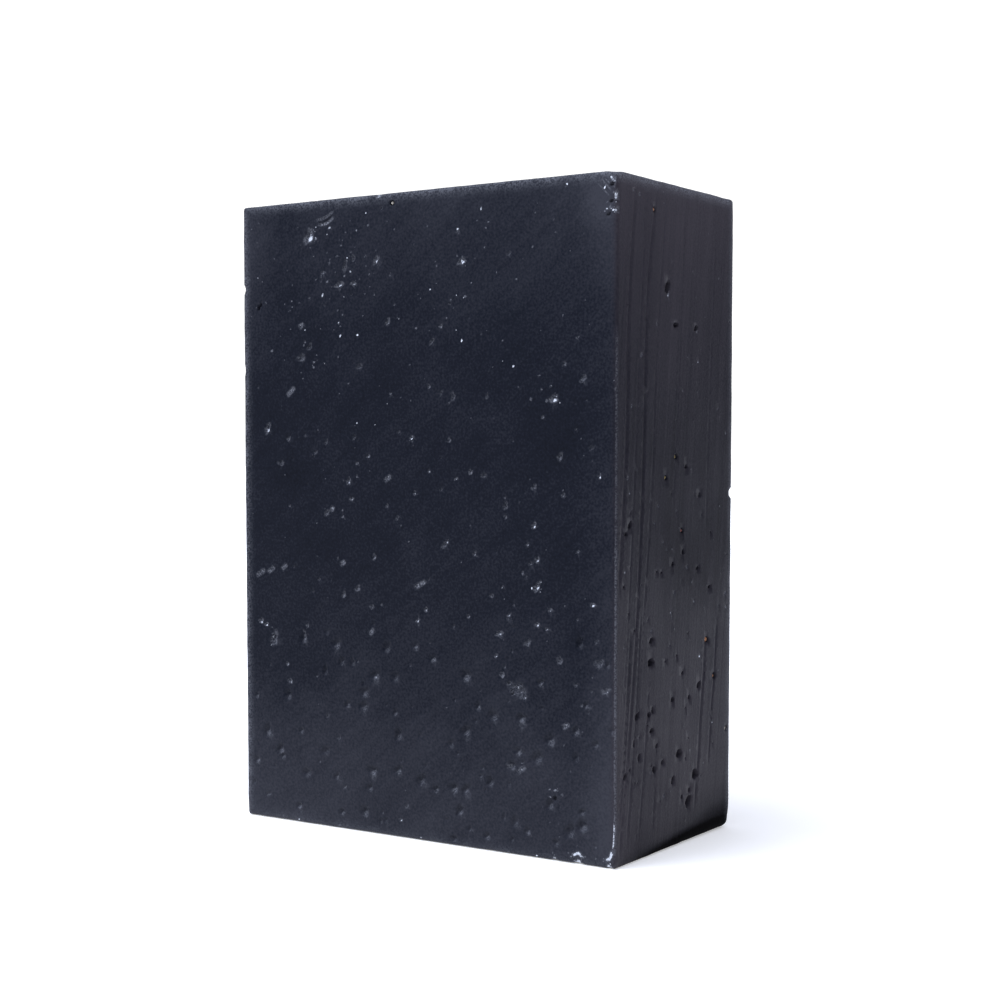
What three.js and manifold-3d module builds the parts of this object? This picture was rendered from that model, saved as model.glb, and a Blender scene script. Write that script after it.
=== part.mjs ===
// A short, thick charcoal block, cast in a mould and cut to size by hand.
//
// Millimetres, +Z up. The origin is the centre of the base. The block stands on its short end, its broad
// front face looks along -Y, and the narrow face that the cutter dragged along looks along +X.
// A few grains of grit are set in the faces. Each one is a solid of its own, loose in its own socket.

import * as THREE from 'three';
import { mergeVertices } from 'three/addons/utils/BufferGeometryUtils.js';
import Module from 'manifold-3d';

const wasm = await Module();
wasm.setup();

// Driving dimensions of the block
const WIDTH = 63;
const DEPTH = 32.4;
const HEIGHT = 89;
const RIGHT = WIDTH / 2;
const FRONT = -DEPTH / 2;

// Rounding of the edges: cut edges stay crisp, handled ones are worn, and the heel is rubbed away most
const CRISP_EDGE = 0.35;
const CUT_EDGE = 0.5;
const WORN_EDGE = 0.7;
const RUBBED_EDGE = 1;
const HEEL_EDGE = 1.8;
const ARC_STEPS = 5;

// Grit grains: radius of a grain, and the clearance round it in its socket
const GRAIN_RADIUS = 0.4;
const SOCKET_CLEARANCE = 0.06;
const SOCKET_MOUTH = 0.1;
const GRAIN_SETBACK = 0.06;

// A bubble with a mouth wider than this is drawn with finer faces
const BROAD_PIT = 0.85;

// Open bubbles on the front face. Each is its x, z, mouth radius and depth.
const FRONT_PITS = [
  [-15.8, 86.5, 1.1, 0.3],
  [-18.5, 84, 0.7, 0.3],
  [-12, 78, 0.9, 0.3],
  [-7, 80, 0.7, 0.3],
  [8, 79, 0.8, 0.3],
  [-20, 67.5, 0.8, 0.25],
  [-22.5, 62.5, 0.8, 0.25],
  [5.5, 60.5, 0.6, 0.3],
  [22, 60, 0.6, 0.25],
  [-27, 56.5, 0.7, 0.3],
  [-16, 45, 0.7, 0.3],
  [-12.5, 38.5, 0.7, 0.25],
  [-7.5, 32, 0.7, 0.25],
  [-27, 27.5, 1, 0.3],
  [-23, 20.5, 0.8, 0.3],
  [16.5, 22, 1.6, 0.5],
  [19.5, 13.5, 1.3, 0.3],
  [21.5, 7, 0.8, 0.35],
  [16.5, 4, 0.7, 0.3],
  [23, 3.2, 0.9, 0.4],
  [25.5, 4.7, 0.9, 0.4],
  [25.8, 0.3, 1, 0.4],
];

// Open bubbles on the narrow face. Each is its y, z, mouth radius and depth.
const SIDE_PITS = [
  [-2.8, 75.3, 0.6, 0.4],
  [-0.6, 70.5, 0.35, 0.3],
  [4.7, 70.5, 0.35, 0.3],
  [-12.8, 44, 0.35, 0.3],
  [-6.7, 28.8, 0.4, 0.3],
  [-6.7, 25.7, 0.55, 0.4],
  [6.7, 21.5, 0.5, 0.4],
  [-0.9, 20.2, 0.5, 0.4],
  [4, 19.8, 0.4, 0.3],
  [-6.3, 19.4, 0.45, 0.35],
  [-10.6, 19, 0.4, 0.3],
  [-6.6, 16.8, 0.4, 0.3],
  [-5.3, 14.6, 0.45, 0.35],
  [1.2, 12.6, 0.6, 0.45],
  [-10, 13.6, 0.5, 0.4],
  [-3.8, 12, 0.4, 0.3],
  [-5.9, 11, 0.5, 0.4],
  [-0.7, 9.3, 0.5, 0.4],
  [5.9, 9, 0.75, 0.5],
  [3.9, 6.2, 0.6, 0.45],
];

// Grooves that grit cut in the narrow face as the cutter dragged it down. Each is [y, z] at its top, on
// its way and at its foot. They lean from the back at the top towards the front at the foot.
const DRAG_GROOVES = [
  [[-11.8, 84.5], [-13.3, 66], [-15.3, 35]],
  [[-6.2, 87], [-8.9, 60], [-14.9, 3]],
  [[-3.5, 87], [-6.5, 60], [-12.1, 10]],
  [[8.8, 27], [7.3, 17.5], [5.3, 3]],
  [[11.8, 31], [11, 22], [9.9, 14]],
];
const GROOVE_RADIUS = 0.3;
const GROOVE_DEPTH = 0.14;
const GROOVE_SIDES = 8;
const GROOVE_STEPS = 10;

// Grains that show. face and the first place value go together: y on the side face, x on the front face.
const GRAINS = [
  { name: 'amber_grain_upper', face: 'side', at: [8.8, 27.6], size: 1, colour: 0x9a6a3c },
  { name: 'amber_grain_lower', face: 'side', at: [11.1, 22.3], size: 1.05, colour: 0x8d6238 },
  { name: 'amber_grain_top', face: 'side', at: [-6.7, 85.1], size: 0.8, colour: 0x8a6440 },
  { name: 'yellow_grain_upper', face: 'side', at: [-0.5, 53], size: 0.85, colour: 0xb09868 },
  { name: 'yellow_grain_lower', face: 'side', at: [-3.2, 50.2], size: 0.8, colour: 0xa38c60 },
  { name: 'red_grain', face: 'side', at: [1.4, 43], size: 0.8, colour: 0x5a2c2c },
  { name: 'pale_grain_back', face: 'side', at: [14.8, 14.4], size: 0.75, colour: 0xb5b0ac },
  { name: 'pale_grain_front', face: 'front', at: [-4.2, 87.6], size: 0.8, colour: 0xb8bac0 },
];

// Turns a three.js geometry into a manifold-3d solid.
function toSolid(geometry) {
  const bare = geometry.clone();
  bare.deleteAttribute('normal');
  bare.deleteAttribute('uv');
  const merged = mergeVertices(bare, 1e-5);
  return new wasm.Manifold(new wasm.Mesh({
    numProp: 3,
    vertProperties: new Float32Array(merged.attributes.position.array),
    triVerts: new Uint32Array(merged.index.array),
  }));
}

// Turns a manifold-3d solid back into a three.js geometry.
function toGeometry(solid) {
  const mesh = solid.getMesh();
  const geometry = new THREE.BufferGeometry();
  geometry.setAttribute('position', new THREE.BufferAttribute(new Float32Array(mesh.vertProperties), 3));
  geometry.setIndex(new THREE.BufferAttribute(new Uint32Array(mesh.triVerts), 1));
  geometry.computeVertexNormals();
  return geometry;
}

// A rectangle that is centred on u and stands on v = 0. The radii go round from the corner at low u and
// low v: low-low, high-low, high-high, low-high.
function roundedOutline(width, height, [lowLow, highLow, highHigh, lowHigh]) {
  const half = width / 2;
  const shape = new THREE.Shape();
  shape.moveTo(-half + lowLow, 0);
  shape.lineTo(half - highLow, 0);
  shape.absarc(half - highLow, highLow, highLow, -Math.PI / 2, 0);
  shape.lineTo(half, height - highHigh);
  shape.absarc(half - highHigh, height - highHigh, highHigh, 0, Math.PI / 2);
  shape.lineTo(-half + lowHigh, height);
  shape.absarc(-half + lowHigh, height - lowHigh, lowHigh, Math.PI / 2, Math.PI);
  shape.lineTo(-half, lowLow);
  shape.absarc(-half + lowLow, lowLow, lowLow, Math.PI, Math.PI * 1.5);
  return shape;
}

function prism(outline, length) {
  return new THREE.ExtrudeGeometry(outline, { depth: length, bevelEnabled: false, curveSegments: ARC_STEPS });
}

// The block's own shape is what three rounded prisms share: its plan, its front and its side.
function roundedBlock() {
  const plan = prism(
    roundedOutline(WIDTH, DEPTH, [CUT_EDGE, CRISP_EDGE, WORN_EDGE, WORN_EDGE]),
    HEIGHT,
  ).translate(0, FRONT, 0);
  const front = prism(
    roundedOutline(WIDTH, HEIGHT, [CUT_EDGE, RUBBED_EDGE, CUT_EDGE, CUT_EDGE]),
    DEPTH,
  ).rotateX(Math.PI / 2).translate(0, -FRONT, 0);
  const side = prism(
    roundedOutline(DEPTH, HEIGHT, [CRISP_EDGE, HEEL_EDGE, WORN_EDGE, CUT_EDGE]),
    WIDTH,
  ).rotateX(Math.PI / 2).rotateZ(Math.PI / 2).translate(-RIGHT, 0, 0);
  return toSolid(plan).intersect(toSolid(front)).intersect(toSolid(side));
}

// A bubble is half of an ellipsoid sunk in a face: its mouth is round and its floor is at the depth.
function frontPit([x, z, radius, depth]) {
  const detail = radius > BROAD_PIT ? 2 : 1;
  return new THREE.IcosahedronGeometry(1, detail).scale(radius, depth, radius).translate(x, FRONT, z);
}

function sidePit([y, z, radius, depth]) {
  return new THREE.IcosahedronGeometry(1, 1).scale(depth, radius, radius).translate(RIGHT, y, z);
}

function dragGroove(points) {
  const centreHeight = GROOVE_RADIUS - GROOVE_DEPTH;
  const path = new THREE.CatmullRomCurve3(
    points.map(([y, z]) => new THREE.Vector3(RIGHT + centreHeight, y, z)),
  );
  const section = new THREE.Shape();
  for (let i = 0; i < GROOVE_SIDES; i += 1) {
    const angle = (i / GROOVE_SIDES) * Math.PI * 2;
    const u = GROOVE_RADIUS * Math.cos(angle);
    const v = GROOVE_RADIUS * Math.sin(angle);
    if (i === 0) section.moveTo(u, v);
    else section.lineTo(u, v);
  }
  section.closePath();
  return new THREE.ExtrudeGeometry(section, {
    extrudePath: path,
    steps: GROOVE_STEPS,
    bevelEnabled: false,
  });
}

// The bruise at the top of the front edge: a slanted slice off the corner.
function cornerBruise() {
  const size = 6;
  const depth = 0.45;
  const outward = new THREE.Vector3(0.55, -0.35, 0.76).normalize();
  const turn = new THREE.Quaternion().setFromUnitVectors(new THREE.Vector3(0, 0, 1), outward);
  const centre = new THREE.Vector3(RIGHT, FRONT, HEIGHT).addScaledVector(outward, size / 2 - depth - 0.4);
  return new THREE.BoxGeometry(size, size, size).applyQuaternion(turn).translate(...centre.toArray());
}

// The nick half way up the back edge of the narrow face.
function edgeNick() {
  return new THREE.IcosahedronGeometry(1, 1)
    .scale(0.7, 0.7, 0.7)
    .translate(RIGHT + 0.1, -FRONT + 0.1, 47.8);
}

function grainCentre({ face, at: [across, z], size }) {
  const sunk = GRAIN_RADIUS * size + GRAIN_SETBACK;
  if (face === 'front') return new THREE.Vector3(across, FRONT + sunk, z);
  return new THREE.Vector3(RIGHT - sunk, across, z);
}

// A socket is round in its face, and long enough outwards to be open there.
function grainSocket(grain) {
  const radius = GRAIN_RADIUS * grain.size + SOCKET_CLEARANCE;
  const reach = radius + SOCKET_MOUTH;
  const socket = new THREE.IcosahedronGeometry(1, 1);
  if (grain.face === 'front') socket.scale(radius, reach, radius).translate(0, -SOCKET_MOUTH, 0);
  else socket.scale(reach, radius, radius).translate(SOCKET_MOUTH, 0, 0);
  return socket.translate(...grainCentre(grain).toArray());
}

// A grain is an uneven pebble that fits inside its socket.
function grainGeometry(grain) {
  const geometry = new THREE.IcosahedronGeometry(GRAIN_RADIUS * grain.size, 1);
  const position = geometry.attributes.position;
  const point = new THREE.Vector3();
  for (let i = 0; i < position.count; i += 1) {
    point.fromBufferAttribute(position, i);
    const uneven = 0.9 + 0.1 * Math.sin(point.x * 9 + grain.at[0]) * Math.cos(point.z * 7 + grain.at[1]);
    point.multiplyScalar(uneven);
    position.setXYZ(i, point.x, point.y, point.z);
  }
  return geometry.translate(...grainCentre(grain).toArray());
}

function blockGeometry() {
  const cuts = [
    ...FRONT_PITS.map(frontPit),
    ...SIDE_PITS.map(sidePit),
    ...DRAG_GROOVES.map(dragGroove),
    ...GRAINS.map(grainSocket),
    cornerBruise(),
    edgeNick(),
  ];
  return toGeometry(cuts.reduce((solid, cut) => solid.subtract(toSolid(cut)), roundedBlock()));
}

function piece(name, geometry, look) {
  const mesh = new THREE.Mesh(geometry, new THREE.MeshStandardMaterial({ metalness: 0, ...look }));
  mesh.name = name;
  return mesh;
}

const charcoalBlock = new THREE.Group();
charcoalBlock.add(piece('charcoal_block', blockGeometry(), { color: 0x262933, roughness: 0.75 }));
for (const grain of GRAINS) {
  charcoalBlock.add(piece(grain.name, grainGeometry(grain), { color: grain.colour, roughness: 0.5 }));
}

export default charcoalBlock;
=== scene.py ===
"""Blender model of a cast, hand-cut charcoal block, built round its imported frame.

The block is one closed mesh. Its six faces are triangulated one by one, finely round every bubble, tear
and drag line and coarsely elsewhere, and then joined along shared edges. Grit grains sit in its sockets.
Lengths are millimetres in the block's own frame, and become metres where a mesh is written.
"""

import logging
import math
from dataclasses import dataclass, field
from enum import Enum

import bmesh
import bpy
import numpy as np
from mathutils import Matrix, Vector, noise
from mathutils.geometry import delaunay_2d_cdt


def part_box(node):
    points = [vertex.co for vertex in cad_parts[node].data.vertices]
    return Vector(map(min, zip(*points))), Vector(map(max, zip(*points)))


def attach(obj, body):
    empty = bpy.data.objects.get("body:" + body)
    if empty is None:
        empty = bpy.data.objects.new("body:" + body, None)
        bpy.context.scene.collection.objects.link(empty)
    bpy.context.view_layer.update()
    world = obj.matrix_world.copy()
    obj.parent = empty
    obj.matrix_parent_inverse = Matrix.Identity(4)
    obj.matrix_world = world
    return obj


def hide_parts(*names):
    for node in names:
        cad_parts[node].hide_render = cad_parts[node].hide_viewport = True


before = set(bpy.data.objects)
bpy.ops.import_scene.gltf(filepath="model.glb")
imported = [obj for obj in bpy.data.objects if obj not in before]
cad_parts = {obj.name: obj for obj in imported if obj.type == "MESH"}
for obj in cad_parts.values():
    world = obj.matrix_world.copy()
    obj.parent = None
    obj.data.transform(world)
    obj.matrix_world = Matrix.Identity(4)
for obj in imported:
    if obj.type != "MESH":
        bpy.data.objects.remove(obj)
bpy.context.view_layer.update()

LOG = logging.getLogger("charcoal_block")
MM = 0.001
SEED = 41
INSIDE_LOOP = 1  # asks the triangulation for the triangles inside the rim only

# The block's own size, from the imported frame
BLOCK_LOW, BLOCK_HIGH = (np.array(corner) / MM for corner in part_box("charcoal_block"))
HEIGHT = float(BLOCK_HIGH[2] - BLOCK_LOW[2])
DEPTH = float(BLOCK_HIGH[1] - BLOCK_LOW[1])
HALF_WIDTH = -float(BLOCK_LOW[0])
WIDTH = 2 * HALF_WIDTH
HALF_DEPTH = DEPTH / 2

# The drag lines lean: this far towards the back for each millimetre of height
DRAG_LEAN = 0.11


def linear(hex_colour: str) -> tuple[float, float, float, float]:
    """Turn an sRGB colour such as "#1b1d26" into linear light.

    Args:
        hex_colour: The colour, as a hash sign and six hex digits.

    Returns:
        Red, green, blue and an alpha of one, in linear light.
    """
    channels = [int(hex_colour[i : i + 2], 16) / 255 for i in (1, 3, 5)]
    red, green, blue = (c / 12.92 if c <= 0.04045 else ((c + 0.055) / 1.055) ** 2.4 for c in channels)
    return red, green, blue, 1.0


def smoothstep(low: float, high: float, value: np.ndarray) -> np.ndarray:
    """Rise smoothly from nought to one.

    Args:
        low: Where the rise starts.
        high: Where it ends. It may be less than low, for a fall.
        value: The values to map.

    Returns:
        The mapped values, each from nought to one.
    """
    share = np.clip((value - low) / (high - low), 0, 1)
    return share * share * (3 - 2 * share)


def noise_at(points: np.ndarray, size: float, shift: float = 0.0) -> np.ndarray:
    """Sample smooth noise.

    Args:
        points: Places in millimetres, one row of two or three numbers each.
        size: How wide one swell of the noise is, in millimetres.
        shift: An offset that gives each use a pattern of its own.

    Returns:
        One value for each place, about -1 to 1.
    """
    spread = np.zeros((len(points), 3))
    spread[:, : points.shape[1]] = points / size
    spread[:, 2] += shift
    return np.array([noise.noise(Vector(p)) for p in spread])


class Side(Enum):
    """The six faces of the block, by where they look."""

    FRONT = "front"
    BACK = "back"
    RIGHT = "right"
    LEFT = "left"
    TOP = "top"
    BASE = "base"


@dataclass(frozen=True)
class FacePlane:
    """One flat face of the squared block, with its own across and up directions.

    Attributes:
        side: Which face it is.
        corner: The corner where across and up are both nought.
        across: Unit vector of the face's across direction.
        up: Unit vector of its up direction.
        outward: Unit vector out of the block.
        width: Length across.
        height: Length up.
    """

    side: Side
    corner: np.ndarray
    across: np.ndarray
    up: np.ndarray
    outward: np.ndarray
    width: float
    height: float

    def place(self, flat: np.ndarray) -> np.ndarray:
        """Put points of the face (across, up) where they are on the squared block."""
        return self.corner + flat[:, :1] * self.across + flat[:, 1:2] * self.up

    def flatten(self, points: np.ndarray) -> tuple[np.ndarray, np.ndarray]:
        """Find where points lie as seen from this face.

        Args:
            points: Places on the squared block.

        Returns:
            Their across and up values, and how deep they lie below the face.
        """
        offset = points - self.corner
        flat = np.stack([offset @ self.across, offset @ self.up], axis=1)
        return flat, -(offset @ self.outward)


def face_plane(side: Side) -> FacePlane:
    """Describe one face of the squared block.

    Args:
        side: Which face.

    Returns:
        Its plane. Seen from outside, across runs to the right and up runs upwards.
    """
    x, y, z = np.eye(3)
    low = np.array([-HALF_WIDTH, -HALF_DEPTH, 0.0])
    high = np.array([HALF_WIDTH, HALF_DEPTH, HEIGHT])
    right_front = np.array([high[0], low[1], 0.0])
    left_back = np.array([low[0], high[1], 0.0])
    back_right = np.array([high[0], high[1], 0.0])
    rows = {
        Side.FRONT: (low, x, z, -y, WIDTH, HEIGHT),
        Side.RIGHT: (right_front, y, z, x, DEPTH, HEIGHT),
        Side.BACK: (back_right, -x, z, y, WIDTH, HEIGHT),
        Side.LEFT: (left_back, -y, z, -x, DEPTH, HEIGHT),
        Side.TOP: (np.array([low[0], low[1], HEIGHT]), x, y, z, WIDTH, DEPTH),
        Side.BASE: (left_back, x, -y, -z, WIDTH, DEPTH),
    }
    return FacePlane(side, *rows[side])


class MarkKind(Enum):
    """The kinds of small mark that the cast surface shows."""

    DIMPLE = "dimple"  # an air bubble, cut open or sunk under the skin: a shallow bowl with a soft rim
    TEAR = "tear"  # a ragged patch that the cutter plucked out, paler than the skin
    PINHOLE = "pinhole"  # a small, deep hole, painted near-black: painted shade
    CRUMB = "crumb"  # a pale speck stuck on the skin
    SOCKET = "socket"  # the seat of a grit grain, painted darker round the grain: painted shade


@dataclass(frozen=True)
class MarkShape:
    """How one kind of mark is shaped.

    Attributes:
        fullness: Exponent of the bowl: high gives a flat floor.
        softness: Second exponent: low gives steep walls, high a soft rim.
        lip: Height of the raised rim, as a share of the depth.
        ragged: How uneven the outline is.
        rough: How uneven the floor is.
        pale: How pale its matter is, from nought to one; below nought it is painted shade.
        painted_light_and_shade: How strong the painted highlight on its lower wall, which faces the light,
            and the painted shade on its upper wall are.
        rings: Where rings of mesh points go, as shares of the radius.
    """

    fullness: float
    softness: float
    lip: float
    ragged: float
    rough: float
    pale: float
    painted_light_and_shade: float
    rings: tuple[float, ...]


# Paleness below nought is painted shade: pinholes and grain sockets are painted dark
MARK_SHAPES = {
    # The seventh number paints light on a mark's walls: painted highlight on the lower wall, painted shade on
    # the upper
    MarkKind.DIMPLE: MarkShape(2.0, 1.5, 0.03, 0.16, 0.05, 0.0, 0.9, (0.3, 0.62, 0.95, 1.25)),
    MarkKind.TEAR: MarkShape(2.0, 1.0, 0.12, 0.22, 0.60, 0.6, 0.5, (0.25, 0.5, 0.75, 0.95, 1.25)),
    MarkKind.PINHOLE: MarkShape(6.0, 0.5, 0.02, 0.12, 0.05, -4.0, 0.0, (0.5, 0.85, 0.97, 1.05, 1.25)),
    MarkKind.CRUMB: MarkShape(2.0, 1.0, 0.0, 0.25, 0.30, 1.1, 0.0, (0.8, 1.3)),
    MarkKind.SOCKET: MarkShape(4.0, 0.5, 0.05, 0.05, 0.0, -0.6, 0.0, (0.4, 0.8, 0.95, 1.05, 1.25)),
}


@dataclass(frozen=True)
class Mark:
    """One small mark in a face.

    Attributes:
        kind: What it is.
        across: Its place across the face.
        up: Its place up the face.
        radius: Mean radius of its mouth.
        depth: How deep it goes; less than nought for what stands proud.
        stretch: How many times longer than wide it is.
        turn: Direction of its length, in radians above across.
        phase: Makes its outline its own.
        shade: How strongly it shows its kind's paleness, painted highlight or painted shade.
    """

    kind: MarkKind
    across: float
    up: float
    radius: float
    depth: float
    stretch: float = 1.0
    turn: float = 0.0
    phase: float = 0.0
    shade: float = 1.0

    REACH = 1.9  # radii past which it changes nothing
    RING_COUNT = (9, 26)  # fewest and most mesh points in a ring
    SMOOTH_BELOW = 0.2  # a floor that is less rough than this is left smooth
    LUMP = 0.35  # mm, size of the lumps in a rough floor
    RIM_CREST, RIM_SPREAD = 1.13, 0.13  # radii, where the raised rim is highest and how far it spreads
    PALE_EDGE = (1.25, 0.7)  # radii, from no paleness to full
    LOWER_WALL = np.array([0.25, -0.42])  # middle of the wall that takes the painted highlight, in radii from the mark's own
    HIGHLIGHT_EDGE = (0.8, 0.15)  # radii from there, from no painted highlight to full
    SHADE_EDGE = (0.85, 0.1)  # the same for the painted shade on the wall across from it
    SHADE_SHARE = 0.8  # how strong the painted shade is beside the painted highlight

    @property
    def reach(self) -> float:
        """Radius past which the mark changes nothing."""
        return self.radius * math.sqrt(self.stretch) * self.REACH

    def outline(self, angle: np.ndarray) -> np.ndarray:
        """Give the mouth's uneven radius in each direction, as a share of its mean."""
        ragged = MARK_SHAPES[self.kind].ragged
        waves = 0.6 * np.cos(2 * angle + self.phase) + 0.5 * np.cos(3 * angle + 2.3 * self.phase)
        return 1 + ragged * (waves + 0.4 * np.cos(5 * angle + 4.1 * self.phase))

    def ring_points(self, spacing: float) -> np.ndarray:
        """Lay mesh points in rings round the mark.

        Args:
            spacing: Aimed distance between neighbours.

        Returns:
            Places (across, up) in the face.
        """
        count = int(np.clip(2 * math.pi * self.radius / spacing, *self.RING_COUNT))
        long, short = math.sqrt(self.stretch), 1 / math.sqrt(self.stretch)
        cos, sin = math.cos(self.turn), math.sin(self.turn)
        rows = [np.zeros((1, 2))]
        for number, share in enumerate(MARK_SHAPES[self.kind].rings):
            angle = (np.arange(count) + 0.5 * (number % 2)) * 2 * math.pi / count
            reach = self.radius * share * self.outline(angle)
            rows.append(np.stack([np.cos(angle) * reach * long, np.sin(angle) * reach * short], axis=1))
        local = np.concatenate(rows)
        across = local[:, 0] * cos - local[:, 1] * sin
        up = local[:, 0] * sin + local[:, 1] * cos
        return np.stack([across, up], 1) + [self.across, self.up]

    def share_of_radius(self, flat: np.ndarray) -> np.ndarray:
        """Give how far out each place lies, where one is the mouth's edge."""
        offset = flat - [self.across, self.up]
        cos, sin = math.cos(self.turn), math.sin(self.turn)
        long, short = math.sqrt(self.stretch), 1 / math.sqrt(self.stretch)
        along = (offset[:, 0] * cos + offset[:, 1] * sin) / long
        beside = (offset[:, 1] * cos - offset[:, 0] * sin) / short
        angle = np.arctan2(beside, along)
        return np.hypot(along, beside) / (self.radius * self.outline(angle))

    def relief(self, flat: np.ndarray) -> tuple[np.ndarray, np.ndarray, np.ndarray]:
        """Work out what the mark does to the face at some places.

        Args:
            flat: Places (across, up), all within reach.

        Returns:
            The bowl's height, the raised rim's height and the paleness, which on dimples and tears also holds
            painted highlight and painted shade.
        """
        shape = MARK_SHAPES[self.kind]
        share = self.share_of_radius(flat)
        inside = np.clip(1 - share**shape.fullness, 0, 1) ** shape.softness
        uneven = 1.0
        if shape.rough > self.SMOOTH_BELOW:
            uneven = 1 + shape.rough * noise_at(flat, self.LUMP, self.phase)
        bowl = -self.depth * inside * uneven
        rim = abs(self.depth) * shape.lip * np.exp(-(((share - self.RIM_CREST) / self.RIM_SPREAD) ** 2))
        pale = self.shade * shape.pale * smoothstep(*self.PALE_EDGE, share)
        # Painted light on the walls: the lower-right wall, which faces the light, is painted paler as a
        # highlight, and the upper-left wall darker as shade
        if shape.painted_light_and_shade:
            offset = (flat - [self.across, self.up]) / self.radius
            lower = np.hypot(*(offset - self.LOWER_WALL).T)
            upper = np.hypot(*(offset + self.LOWER_WALL).T)
            painted_light_and_shade = smoothstep(*self.HIGHLIGHT_EDGE, lower) - self.SHADE_SHARE * smoothstep(*self.SHADE_EDGE, upper)
            pale += self.shade * shape.painted_light_and_shade * painted_light_and_shade
        return bowl, rim, pale


@dataclass(frozen=True)
class Score:
    """A groove or ridge along a line in a face.

    Attributes:
        points: The line, as (across, up) places.
        half_width: Half its width.
        depth: How deep it goes; less than nought for a ridge.
        lip: Height of the matter pushed up beside it.
        pale: How pale it is; less than nought for painted shade.
        broken: From nought for a whole line to one for a broken one.
        step: Distance between mesh points along it.
    """

    points: tuple[tuple[float, float], ...]
    half_width: float
    depth: float
    lip: float = 0.0
    pale: float = 0.0
    broken: float = 0.0
    step: float = 0.8

    ROWS = (-1.9, -1.2, -0.6, 0.0, 0.6, 1.2, 1.9)  # half widths from the line at which mesh points go
    TAPER = 3.0  # mm, the most that an end takes to fade out
    GAP = 0.7  # mm, size of the gaps in a broken line
    CREST, CREST_SPREAD = 1.45, 0.35  # half widths, of the matter pushed up beside it
    PALE_EDGE = (1.6, 0.7)  # half widths, from no paleness to full

    def path(self) -> np.ndarray:
        """Give the smooth line through the points, at even steps."""
        points = np.array(self.points, float)
        if len(points) > 2:
            points = self._smooth(points)
        legs = np.hypot(*np.diff(points, axis=0).T)
        run = np.concatenate([[0], np.cumsum(legs)])
        at = np.linspace(0, run[-1], max(3, int(run[-1] / self.step) + 1))
        return np.stack([np.interp(at, run, points[:, 0]), np.interp(at, run, points[:, 1])], axis=1)

    @staticmethod
    def _smooth(points: np.ndarray) -> np.ndarray:
        """Round the corners of a line with a Catmull-Rom curve.

        Args:
            points: The line's points.

        Returns:
            A denser line through the same points.
        """
        padded = np.concatenate([[2 * points[0] - points[1]], points, [2 * points[-1] - points[-2]]])
        share = np.linspace(0, 1, 8, endpoint=False)[:, None]
        rows = []
        for before, start, end, after in zip(padded, padded[1:], padded[2:], padded[3:]):
            rows.append(
                0.5
                * (
                    2 * start
                    + (end - before) * share
                    + (2 * before - 5 * start + 4 * end - after) * share**2
                    + (3 * start - before - 3 * end + after) * share**3
                )
            )
        return np.concatenate([*rows, points[-1:]])

    def mesh_points(self) -> np.ndarray:
        """Lay rows of mesh points along both walls of the line and beside it."""
        path = self.path()
        along = np.gradient(path, axis=0)
        along /= np.hypot(*along.T)[:, None]
        beside = np.stack([-along[:, 1], along[:, 0]], axis=1)
        return np.concatenate([path + beside * self.half_width * share for share in self.ROWS])

    def nearest(self, flat: np.ndarray) -> tuple[np.ndarray, np.ndarray, float]:
        """Measure how far places are from the line.

        Args:
            flat: Places (across, up).

        Returns:
            The distance of each, how far along the line it is nearest, and the line's length.
        """
        path = self.path()
        nearest = np.full(len(flat), 1e9)
        run = np.zeros(len(flat))
        length = 0.0
        for start, end in zip(path, path[1:]):
            leg = end - start
            size = float(np.hypot(*leg))
            share = np.clip((flat - start) @ leg / (size * size), 0, 1)
            distance = np.hypot(*(flat - start - share[:, None] * leg).T)
            closer = distance < nearest
            nearest[closer] = distance[closer]
            run[closer] = length + share[closer] * size
            length += size
        return nearest, run, length

    def relief(self, flat: np.ndarray) -> tuple[np.ndarray, np.ndarray, np.ndarray]:
        """Work out what the line does to the face at some places.

        Args:
            flat: Places (across, up).

        Returns:
            The groove's height, the height of the matter beside it and the paleness.
        """
        nearest, run, length = self.nearest(flat)
        taper = min(self.TAPER, length / 4)
        fade = smoothstep(0, taper, run) * smoothstep(0, taper, length - run)
        if self.broken:
            there = noise_at(np.stack([run, run * 0], axis=1), self.GAP, self.points[0][1])
            fade = fade * smoothstep(self.broken - 0.9, self.broken - 0.35, there)
        share = nearest / self.half_width
        groove = -self.depth * np.clip(1 - share**2, 0, 1) * fade
        beside = self.lip * np.exp(-(((share - self.CREST) / self.CREST_SPREAD) ** 2)) * fade
        return groove, beside, self.pale * smoothstep(*self.PALE_EDGE, share) * fade


@dataclass(frozen=True)
class Chip:
    """A chip or bruise at an edge or corner, pressed in as a shallow round dent.

    Attributes:
        centre: Where it is, on the squared block.
        radius: How far it spreads.
        depth: How far it goes in.
        inward: The direction in which the matter moved.
        pale: How pale its matter is.
    """

    centre: tuple[float, float, float]
    radius: float
    depth: float
    inward: tuple[float, float, float]
    pale: float = 0.0

    LUMP = 0.5  # mm, size of the lumps in its floor
    LUMPY = 0.35  # how high they are, as a share of its depth
    CRUMB = 0.4  # mm, size of the patches in its paleness
    PALE_GAIN = 1.7  # how soon it is wholly pale, from its edge inwards

    def relief(self, points: np.ndarray) -> tuple[np.ndarray, np.ndarray]:
        """Work out how far the chip moves some points.

        Args:
            points: Places on the squared block.

        Returns:
            The move of each point and its paleness.
        """
        distance = np.linalg.norm(points - np.array(self.centre), axis=1) / self.radius
        inside = np.clip(1 - distance**2, 0, 1)
        moved = np.zeros_like(points)
        near = inside > 0
        if near.any():
            direction = np.array(self.inward) / np.linalg.norm(self.inward)
            uneven = 1 + self.LUMPY * noise_at(points[near], self.LUMP, self.radius)
            moved[near] = direction * (self.depth * inside[near] ** 0.6 * uneven)[:, None]
            inside[near] *= 1 + noise_at(points[near], self.CRUMB, self.depth)
        return moved, self.pale * np.clip(inside * self.PALE_GAIN, 0, 1)


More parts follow.
